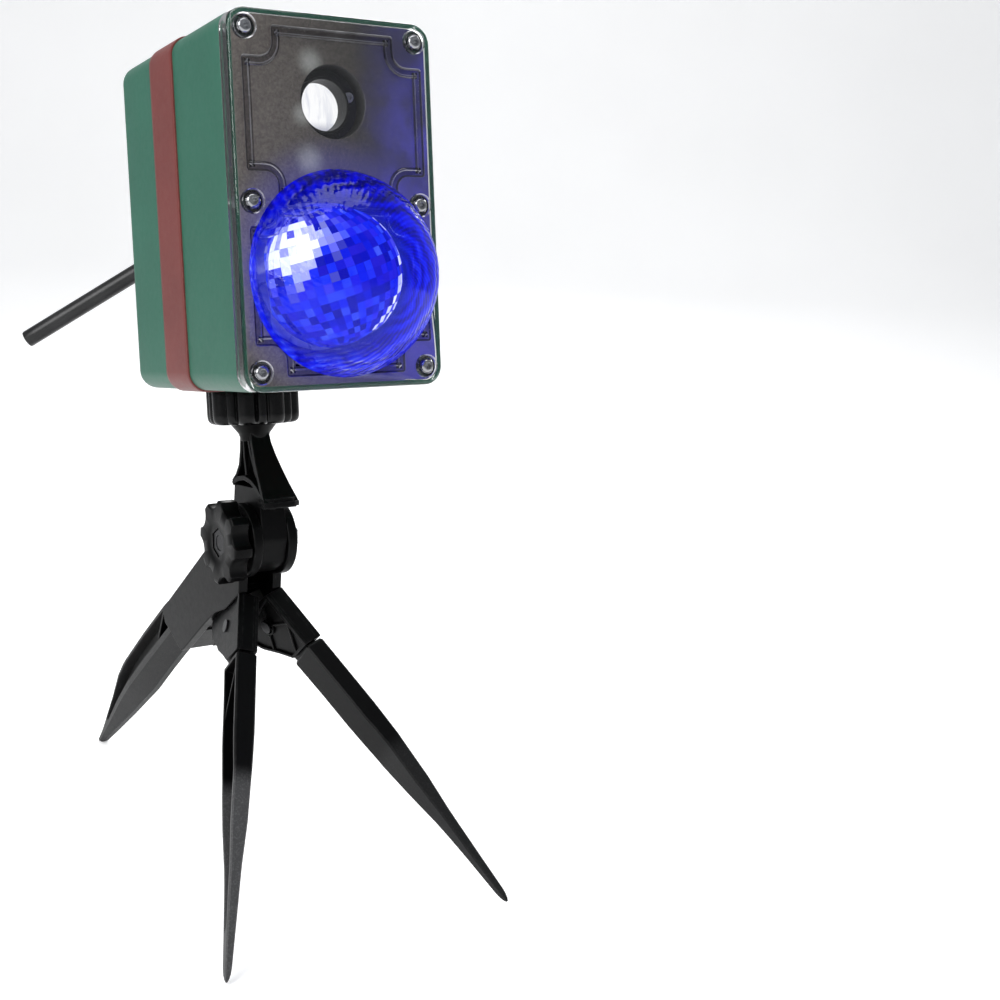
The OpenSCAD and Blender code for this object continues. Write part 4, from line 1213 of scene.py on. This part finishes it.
def plate(stations, thickness):
    """Plate following (y, z, half-width) stations, thickened along its own normal."""
    rows = []
    path = [Vector(station[:2]) for station in stations]
    for i, (y, z, half) in enumerate(stations):
        ahead = (path[min(len(path) - 1, i + 1)] - path[max(0, i - 1)]).normalized()
        shift = Vector((ahead.y, -ahead.x)) * thickness
        rows.append([(-half, y, z), (half, y, z), (half, y + shift.x, z + shift.y),
                     (-half, y + shift.x, z + shift.y)])
    return loft(rows)


def neck():
    stem = [(0, 51.2), (10.8, 51.2), (11, 51.0), (11, 49.2), (10.8, 49.0), (7.5, 49.0),
            (7.5, 46.6), (8.8, 46.3), (8.9, 45.9), (6.3, 42.6), (5.8, 41.2), (5.4, 39.6),
            (0, 39.6)]      # radius, z
    # plates: y, z, half-width
    front_plate = [(-4.9, 43.5, 4.0), (-6.2, 39.0, 4.2), (-8.6, 34.0, 4.8), (-12.2, 28.2, 5.6),
                   (-16.2, 22.6, 6.4), (-20.0, 17.8, 7.2), (-21.6, 15.4, 7.6)]
    rear_plate = [(4.7, 43.5, 4.0), (4.9, 36.0, 4.4), (5.4, 30.0, 5.0), (7.0, 26.2, 5.8),
                  (9.4, 23.8, 6.4)]
    arch = [(-20.6, 14.6, 7.2), (-17.4, 18.2, 6.8), (-12.9, 21.9, 6.5), (-7.7, 24.6, 6.4),
            (-1.6, 26.0, 6.4), (4.1, 25.4, 6.4), (8.3, 24.0, 6.4), (9.7, 23.0, 6.4)]
    # front lip in two layers: (x, y) outline, bottom z, top z
    lips = [([(-7.9, -16.4), (7.9, -16.4), (7.9, -21.2), (4.6, -23.2), (-4.6, -23.2),
              (-7.9, -21.2)], 14.2, 16.2),
            ([(-7.6, -16.4), (7.6, -16.4), (7.6, -19.6), (4.4, -21.8), (-4.4, -21.8),
              (-7.6, -19.6)], 16.0, 17.6)]
    # (y, z) outlines
    web = [(-4.6, 43), (-8.2, 33.4), (-16.2, 21), (-13.4, 15), (-11.0, 2), (11.0, 2),
           (9.4, 21), (5.6, 29), (4.6, 43)]
    front_rib = [(-2.4, 42.6), (-4.6, 35.0), (-9.2, 25.6), (-7.6, 25.0), (-3.2, 34.8),
                 (-1.0, 42.6)]
    rear_rib = [(0.8, 42.6), (0.8, 34.0), (-0.4, 25.9), (1.2, 25.9), (2.2, 34.0), (2.2, 42.6)]
    tongue = fillet([(-12.0, 21.0), (-13.6, 6), (-14.0, 0), (-10, -10), (0, -14.2),
                     (10, -10), (14.0, 0), (12.6, 8), (9.6, 22.0)],
                    [0, 4, 6, 8, 8, 8, 6, 4, 0], 5)
    part = Part("neck_v", "neck", "stake_black", BLACK, TILT)
    part.add(lathe(stem, 64, to=along_z))
    part.add(plate(front_plate, -1.8), plate(rear_plate, 1.6))
    for outline, low, high in lips:
        part.add(prism(fillet(outline, [0, 0, 1.5, 3, 3, 1.5], 5), low, high))
    part.add(prism(web, -1.1, 1.1, along_x))
    for side in (-1, 1):
        for rib, x in ((front_rib, side * 3.7), (rear_rib, side * 3.9)):
            part.add(prism(rib, x - 0.45, x + 0.45, along_x))
    part.add(plate(arch, 1.8))
    part.add(prism(tongue, -5.3, 5.3, along_x))
    part.make(bevel=0.45, segments=3, replaces="neck")


# ------------------------------------------------------------------- knob
def knob_outline():
    """Eight lobes with a round scallop between each pair."""
    radius, scallop = 17.0, 6.2
    reach = radius + 3.1      # scallop centres
    half = acos((radius * radius + reach * reach - scallop * scallop) / (2 * radius * reach))
    points = []
    for i in range(8):
        middle = radians(45 * i - 15.5)
        centre = Vector((reach * cos(middle), reach * sin(middle)))
        start, end = [Vector((radius * cos(t), radius * sin(t))) - centre
                      for t in (middle - half, middle + half)]
        first = atan2(start.y, start.x)
        sweep = atan2(end.y, end.x) - first
        while sweep > 0:
            sweep -= 2 * pi
        for j in range(9):
            t = first + sweep * j / 8
            points.append((centre.x + scallop * cos(t), centre.y + scallop * sin(t)))
        # lobe crest between this scallop and the next
        crest, crest_end = middle + half, middle + radians(45) - half
        for j in range(1, 6):
            t = crest + (crest_end - crest) * j / 6
            points.append((radius * cos(t), radius * sin(t)))
    return points


def tilt_knob():
    outline = knob_outline()
    nut = circle(5.95, n=6, start=pi / 2)
    outer_ring, inner_ring = circle(8.6, n=96), circle(8.0, n=96)
    boss, boss_end = circle(7), circle(6.8)

    def scaled(scale):
        return [(y * scale, z * scale) for y, z in outline]

    # outline scale, x
    profile = [(0.955, -18.5), (0.985, -18.2), (1.0, -17.7), (1.0, -12.0), (0.985, -11.3),
               (0.95, -11.0)]
    part = Part("tilt_knob_v", "knob", "stake_black", BLACK, LEVEL)
    part.bands([(scaled(scale), x) for scale, x in profile], to=along_x)
    # outer face with a shallow dish and the hexagonal nut pocket
    part.add(sheet(scaled(0.955), [outer_ring], -18.5, along_x))
    part.add(wall(outer_ring, -18.5, inner_ring, -18.15, along_x))
    part.add(sheet(inner_ring, [nut], -18.15, along_x))
    part.add(wall(nut, -18.15, nut, -13.9, along_x))
    part.add(disc(nut, -13.9, along_x))
    # inner face with a boss
    part.add(sheet(scaled(0.95), [boss], -11.0, along_x))
    part.add(wall(boss, -11.0, boss_end, -9.6, along_x))
    part.add(disc(boss_end, -9.6, along_x))
    part.make(sharp=38, replaces="tilt_knob")


# ================================================================= stake
def sleeve():
    """Two cheeks, each an ear disc round the bolt and a sleeve side, and walls between."""
    ear, rear_y = 15.0, 11.7
    outline = [(-17.4, -13.0), (-16.6, -30.0), (-13.6, -40.0), (-12.9, -55.0), (-12.6, -81.0),
               (-12.2, -83.9), (-1.5, -88.8), (5.4, -92.4), (rear_y, -90.8)]      # y, z
    start, end = degrees(acos(rear_y / ear)), 214
    for k in range(41):
        t = radians(-start + (end + start) * k / 40)
        outline.append((ear * cos(t), ear * sin(t)))
    part = Part("stake_sleeve", "stake", "stake_black", BLACK, SPIKE)
    for side in (-1, 1):
        part.add(prism(outline, side * 5.5, side * 9.5, along_x))
    part.make(bevel=0.6, segments=3)

    half = 8.9
    part = Part("stake_sleeve_walls", "stake", "stake_black", BLACK, SPIKE)
    part.add(box(-half, half, -11.6, -9.0, -82.4, -24))
    part.add(box(-half, half, 8.9, 11.3, -90.2, -30))
    part.add(prism([(-12.4, -62), (-12.1, -82.8), (-1.5, -88.2), (5.4, -91.7), (11.3, -90.2),
                    (11.3, -62)], -half, half, along_x))
    part.make(bevel=0.4)


# Spike tables: distance u from the bolt down the spike, then a y or a half-width.
SPIKE_LOW = [(86, -7.6), (98, -6.3), (127, -6.5), (145, -7.0), (181, -5.2), (210, -3.3),
             (231, -1.9), (234, -1.7)]
SPIKE_HIGH = [(70, 12.0), (92, 13.2), (123, 14.0), (155, 14.0), (172, 12.8), (190, 8.5),
              (206, 5.5), (222, 2.5), (234, 1.5)]
SPIKE_HOLLOW = [(92, 3.4), (115, 4.1), (137, 4.8), (164, 4.7), (186, 4.3), (207, 2.6),
                (234, 0.6)]      # low side of the hollow
SPIKE_KEEL = [(92, 0.0), (130, 0.8), (178, 1.5), (205, 0.4), (234, -0.4)]
SPIKE_HALF = [(70, 8.7), (92, 8.4), (160, 7.0), (234, 1.6)]
SPIKE_FLANGE = [(92, 1.7), (166, 1.6), (190, 1.2), (209, 0.8)]      # thickness
SPIKE_STATIONS = [86, 92, 93.5, 96, 104, 116, 123, 134, 145, 155, 160, 166, 172, 178, 184,
                  190, 197, 203, 206, 209, 212, 216, 220, 225, 229, 231.5, 233.2]


def spike():
    """Tapering spike with a keel at low y and a hollow down each side."""
    rows = []
    for u in SPIKE_STATIONS:
        low, high, half = [interp(t, u) for t in (SPIKE_LOW, SPIKE_HIGH, SPIKE_HALF)]
        depth = 5.4 * clamp((u - 92) / 1.6) * clamp((209 - u) / 5)
        depth = max(0.0, min(depth, half - 1.1))
        chamfer = min(0.5, half * 0.3)
        hollow = min(interp(SPIKE_HOLLOW, u), high - 1.3)
        keel = min(interp(SPIKE_KEEL, u), hollow - 0.8)
        flange = max(hollow + 0.3, high - interp(SPIKE_FLANGE, u))
        edge = min(1.5, half * 0.5)
        side = [(edge, low), (edge + (half - edge) * 0.5, low + (keel - low) * 0.5),
                (half - 0.15, keel - 0.1), (half, keel + 0.1), (half, hollow - 0.35),
                (half - min(0.4, depth), hollow), (half - depth, hollow + 0.25),
                (half - depth, flange - 0.3), (half - min(0.3, depth), flange),
                (half, flange + 0.15), (half, high - chamfer * 0.7), (half - chamfer, high)]
        side = [(x, min(y, high)) for x, y in side]
        rows.append([(x, y, -u) for x, y in side] + [(-x, y, -u) for x, y in side[::-1]])
    # painted light: the spike is painted a paler grey beyond the sleeve
    keel_black = plastic("keel_black_m", rough=0.40, spec=0.12, frame=SPIKE,
                         far=(-91.0, -93.0, 0.021), **STAKE_LOOK)
    part = Part("main_spike", "stake", "stake_black", keel_black, SPIKE)
    part.add(loft(rows))
    part.make(sharp=24, replaces="main_stake")
    # ribs in the side hollows
    part = Part("spike_ribs", "stake", "stake_black", BLACK, SPIKE)
    for side in (-1, 1):
        part.add(prism([(3.2, -109.0), (4.4, -109.0), (12.4, -94.2), (12.4, -92.4),
                        (11.4, -92.4)], side * 3.2, side * 7.9, along_x))
    part.make(bevel=0.25)


# ------------------------------------------------- leg brackets and legs
BOSS = (3.3, 5.9)      # y, z of the round boss in a leg's frame


def strip(start, end, width):
    """Outline of a thin straight rib."""
    start, end = Vector(start), Vector(end)
    ahead = (end - start).normalized()
    shift = Vector((-ahead.y, ahead.x)) * (width / 2)
    return [tuple(p) for p in (start - shift, end - shift, end + shift, start + shift)]


def bracket(name, frame):
    # outlines are (y, z)
    cheek = fillet([(-11.2, -12.8), (2.8, -11.6), (8.6, -5.3), (16.8, 2.2), (18.4, 4.8),
                    (26, 14), (26, 24.0), (0, 21.3), (-2, 15.2), (-11.2, 13.6)],
                   [0.8, 2.0, 3.0, 1.2, 3.0, 3.0, 0, 0, 2.0, 1.4], 4)
    pad = fillet([(-11.2, -12.8), (1.8, -11.2), (8.3, -4.2), (9.9, 7.4), (8.2, 9.0),
                  (-6.4, 7.7), (-8.8, 10.0), (-9.4, 13.4), (-11.2, 13.6)],
                 [0.6, 1.5, 3.0, 1.6, 1.0, 1.2, 1.5, 0.3, 0.8], 4)
    cap = fillet([(-11.0, 12.3), (25.4, 12.3), (25.8, 14), (25.8, 23.8), (0.2, 21.2),
                  (-1.9, 15.3), (-11.0, 13.6)], [0, 0, 0, 0, 0, 1.5, 0.5], 4)
    rim = [(-10.6, -12.2), (2.4, -11.0), (8.2, -4.9), (16.4, 2.6), (18.0, 5.0), (23.5, 12.3)]
    ribs = [((-9.8, -0.7), (-0.6, 4.2)), ((-9.8, -0.7), (-1.2, -11.2)),
            ((-3.0, 12.4), (0.6, 8.4)), ((6.2, 3.0), (10.6, -2.0))]
    part = Part(name, "stake", "stake_black", BLACK, frame)
    part.add(prism(cheek, 2.2, 3.05, along_x))       # outer cheek and its pad
    part.add(prism(pad, 2.9, 4.3, along_x))
    part.add(prism(cheek, -3.2, -2.2, along_x))      # inner cheek
    part.add(box(-4.2, 4.2, -11.15, -9.25, -12.6, 13.5))      # front wall
    part.add(prism(cap, -4.2, 3.0, along_x))         # over the slot
    # raised rim, ribs and ring on the inner cheek
    for start, end in zip(rim, rim[1:]):
        part.add(prism(strip(start, end, 1.3), -4.25, -3.1, along_x))
    for start, end in ribs:
        part.add(prism(strip(start, end, 1.0), -4.1, -3.1, along_x))
    part.add(lathe([(3.0, -4.2), (3.9, -4.2), (3.9, -3.1), (3.0, -3.1), (3.0, -4.2)], 36,
                   centre=BOSS, to=along_x))
    part.make(bevel=0.3)


# Leg tables: distance u from the pin down the leg, then a y or a half-width.
LEG_FRONT = [(13, -10.9), (40, -11.2), (64, -11.3), (70, -10.6), (84, -9.1), (100, -7.0),
             (116, -5.0), (LEG_LENGTH + 1, -1.9)]
LEG_REAR = [(13, 4.3), (30, 3.5), (46, 3.3), (70, 2.9), (84, 1.6), (104, 0.3), (116, 0.0),
            (LEG_LENGTH + 1, 0.6)]
LEG_HALF = [(13, 4.2), (50, 4.1), (66, 3.5), (84, 3.2), (101, 2.2), (116, 1.9),
            (LEG_LENGTH - 3, 1.2), (LEG_LENGTH + 1, 0.7)]
LEG_STATIONS = [13.3, 14.2, 15.4, 16.2, 20, 26, 32, 40, 48, 56, 61, 64, 66.5, 70, 76, 84, 92,
                100, 106, 112, 117, 120, 124, 130, 136, 138.5, 140.2, 141.2]
TIP_START = 136


def leg_section(u):
    """Section at u: two flanges and a web set to the inner side."""
    front, rear, half = [interp(t, u) for t in (LEG_FRONT, LEG_REAR, LEG_HALF)]
    if u > TIP_START:      # rounded tip
        shrink = sqrt(max(0.02, 1 - ((u - TIP_START) / 5.4) ** 2))
        middle = (front + rear) / 2
        front, rear = middle + (front - middle) * shrink, middle + (rear - middle) * shrink
        half = half * shrink
    if u == LEG_STATIONS[0]:
        front, rear, half = front + 0.5, rear - 0.5, half - 0.5
    hollow = clamp((u - 15.4) / 1.0) * clamp((124 - u) / 6)
    web = half - hollow * max(0.0, 2 * half - 2.4)
    step = min(0.22, hollow)
    chamfer = min(0.6, half * 0.35)
    low = front + min(1.7, (rear - front) * 0.28)
    high = rear - min(1.4, (rear - front) * 0.24)
    outline = [(-half + chamfer, front), (half - chamfer, front), (half, front + chamfer * 0.8),
               (half, low - 0.2), (half - step, low), (web, low + 0.2), (web, high - 0.2),
               (half - step, high), (half, high + 0.2), (half, rear - chamfer * 0.7),
               (half - chamfer * 0.7, rear), (-half + chamfer, rear), (-half, rear - chamfer),
               (-half, front + chamfer)]
    return [(x, y, -u) for x, y in outline]


def leg(body, frame, painted_light_grey):
    name = body + "_v"
    # painted light: the leg turns a paler grey further down
    black = plastic(name + "_m", rough=0.34, spec=0.14, frame=frame,
                    far=(-62.0, -72.0, painted_light_grey), **STAKE_LOOK)
    part = Part(name, body, "stake_black", black, frame)
    part.add(loft([leg_section(u) for u in LEG_STATIONS]))
    # tongue and boss in the bracket
    tongue = fillet([(-8.6, -14.4), (-8.6, -5), (-2.9, 5), (8.8, 4), (6, -7), (4.2, -14.4)],
                    [0, 2.5, 0.5, 0.5, 3, 0], 4)
    part.add(prism(tongue, -2.1, 2.1, along_x))
    part.add(lathe([(2.08, -2.1), (6.0, -2.1), (6.2, -1.9), (6.2, 1.9), (6.0, 2.1),
                    (2.08, 2.1), (2.08, -2.1)], 48, centre=BOSS, to=along_x))
    part.make(sharp=26, replaces=body)
    part = Part(name + "_ribs", body, "stake_black", BLACK, frame)
    part.add(prism([(-9.7, -16.2), (-9.7, -18.0), (2.3, -38.2), (2.3, -36.4)], -1.9, 3.7,
                   along_x))
    part.make(bevel=0.2)


# -------------------------------------------- CAD pieces kept as they are
KEPT = {
    "cover_gasket": RUBBER, "rotor_motor": MOTOR_CAN, "motor_bracket": INNER,
    "wave_led_board": BOARD, "lens_barrel": INNER, "image_slide": FILM,
    "condenser_lens": CLEAR, "picture_led_board": BOARD, "heat_sink": ALUMINIUM,
    "driver_board": CIRCUIT, "board_screws": STEEL, "gland_locknut": RUBBER,
    "tilt_bolt": NUT, "bolt_washer": NUT, "knob_nut": NUT, "leg_pins": PINS,
}
KEPT_BEVELLED = ("tilt_bolt", "knob_nut", "bolt_washer", "leg_pins", "lens_barrel")


def dress_kept():
    for name, material in KEPT.items():
        obj = cad_nodes[name]
        obj.data.materials.clear()
        obj.data.materials.append(material)
        obj.modifiers.new("weld", "WELD").merge_threshold = 1e-6
        if name in KEPT_BEVELLED:
            add_bevel(obj, width=0.0003, segments=2, angle=40)


# ------------------------------------------------ floor, world, lights, camera
def floor():
    """Flat floor rising softly into a backdrop, in metres."""
    mat = new_graph("floor_m")
    patches = mat.noise(mat.local(), scale=0.004)
    shown = mat.mix(mat.fade(patches, start=0.3, end=0.7), (0.90,) * 3, (0.93,) * 3)
    lift = mat.mul(mat.node("LightPath", out="Is Camera Ray"), 0.30)
    material = mat.finish(mat.principled(
        Base_Color=shown, Roughness=0.75, Specular_IOR_Level=0.2,
        Emission_Color=(1.0, 1.0, 1.0), Emission_Strength=lift))
    half, bend_y, bend = 4.5, 1.1, 0.9
    profile = [(-3.0, 0.0), (bend_y, 0.0)]      # y, z
    profile += [(bend_y + bend * sin(t), bend - bend * cos(t)) for t in quarter(24)]
    profile.append((2.0, 3.2))
    verts = [(x, y, z) for y, z in profile for x in (-half, half)]
    faces = [[2 * i, 2 * i + 1, 2 * i + 3, 2 * i + 2] for i in range(len(profile) - 1)]
    turn = Matrix.Rotation(radians(-35), 4, "Z")
    mesh = bpy.data.meshes.new("floor")
    mesh.from_pydata([tuple(turn @ Vector(p)) for p in verts], [], faces)
    mesh.polygons.foreach_set("use_smooth", [True] * len(mesh.polygons))
    mesh.materials.append(material)
    obj = bpy.data.objects.new("floor", mesh)
    bpy.context.scene.collection.objects.link(obj)


def world():
    """Soft cool light on the piece, plain white to the camera."""
    graph = Graph(bpy.data.worlds.new("studio"), "OutputWorld")
    soft = graph.node("Background", {"Color": (0.92, 0.95, 1.0), "Strength": 0.30})
    white = graph.node("Background", {"Color": (1.0, 1.0, 1.0), "Strength": 1.0})
    seen = graph.node("LightPath", out="Is Camera Ray")
    bpy.context.scene.world = graph.finish(graph.shade(seen, soft, white))


def area(name, place, target, width, height, power):
    """Rectangular light: place, target and size in metres, power in watts."""
    light = bpy.data.lights.new(name, "AREA")
    light.energy = power
    light.shape = "RECTANGLE"
    light.size = width
    light.size_y = height
    obj = bpy.data.objects.new(name, light)
    obj.location = place
    obj.rotation_mode = "QUATERNION"
    obj.rotation_quaternion = (Vector(target) - Vector(place)).to_track_quat("-Z", "Y")
    bpy.context.scene.collection.objects.link(obj)
    return obj


def lights():
    area("key", (-1.35, -0.55, 0.95), (0, -0.03, 0.2), width=0.9, height=1.1, power=17)
    fill = area("fill", (1.30, -0.30, 0.75), (0, -0.05, 0.2), width=0.7, height=0.9, power=7)
    fill.visible_glossy = False
    area("top", (0.0, 0.15, 1.5), (0, -0.03, 0.1), width=1.2, height=1.2, power=12)
    area("rear", (0.8, 1.0, 0.9), (0, 0.0, 0.2), width=0.8, height=0.8, power=8)


def camera():
    place = (-0.265632, -0.590931, 0.253796)
    azimuth, elevation, roll = radians(-35.062), radians(9.449), radians(0.549)
    data = bpy.data.cameras.new("cam")
    obj = bpy.data.objects.new("cam", data)
    bpy.context.scene.collection.objects.link(obj)
    data.sensor_width = 36
    data.lens = 54.562
    data.clip_start, data.clip_end = 0.01, 20
    back = Vector((sin(azimuth) * cos(elevation), -cos(azimuth) * cos(elevation),
                   sin(elevation)))
    level_right = (-back).cross(Vector((0, 0, 1))).normalized()
    level_up = level_right.cross(-back)
    right = cos(roll) * level_right + sin(roll) * level_up
    upward = -sin(roll) * level_right + cos(roll) * level_up
    axes = Matrix((right, upward, back)).transposed()
    obj.matrix_world = Matrix.Translation(place) @ axes.to_4x4()
    scene = bpy.context.scene
    scene.camera = obj
    scene.view_settings.view_transform = "Standard"
    scene.view_settings.look = "None"


def flatten_tips():
    """Nothing of the spike or legs goes below the ground."""
    for name in ("main_spike", "left_leg_v", "right_leg_v"):
        for vertex in bpy.data.objects[name].data.vertices:
            if vertex.co.z < 0.0:
                vertex.co.z = 0.0


# ================================================================= build
back_notch = cutter(box(-1.5, 1.5, 99.5, 112, -4, 5.5))      # low in the box's back edge
swivel_seat = cutter(box(-21, 21, 57, 100, -6, 1.2))         # clears the ribbons underneath
housing(back_notch)
ribbons(back_notch, swivel_seat)
drop(back_notch, swivel_seat)
bow()
front_cover()
screws()
inner_panel()
projection_lens()
dome()
wave_rotor()
gland()
power_cord()
locking_collar()
neck()
tilt_knob()
sleeve()
spike()
bracket("leg_bracket_left", LEFT_LEG)
bracket("leg_bracket_right", RIGHT_LEG)
# painted light: the left leg, on the key light's side, is painted much paler lower down than the
# right
leg("right_leg", RIGHT_LEG, painted_light_grey=0.014)
leg("left_leg", LEFT_LEG, painted_light_grey=0.065)
dress_kept()
floor()
world()
lights()
camera()
flatten_tips()
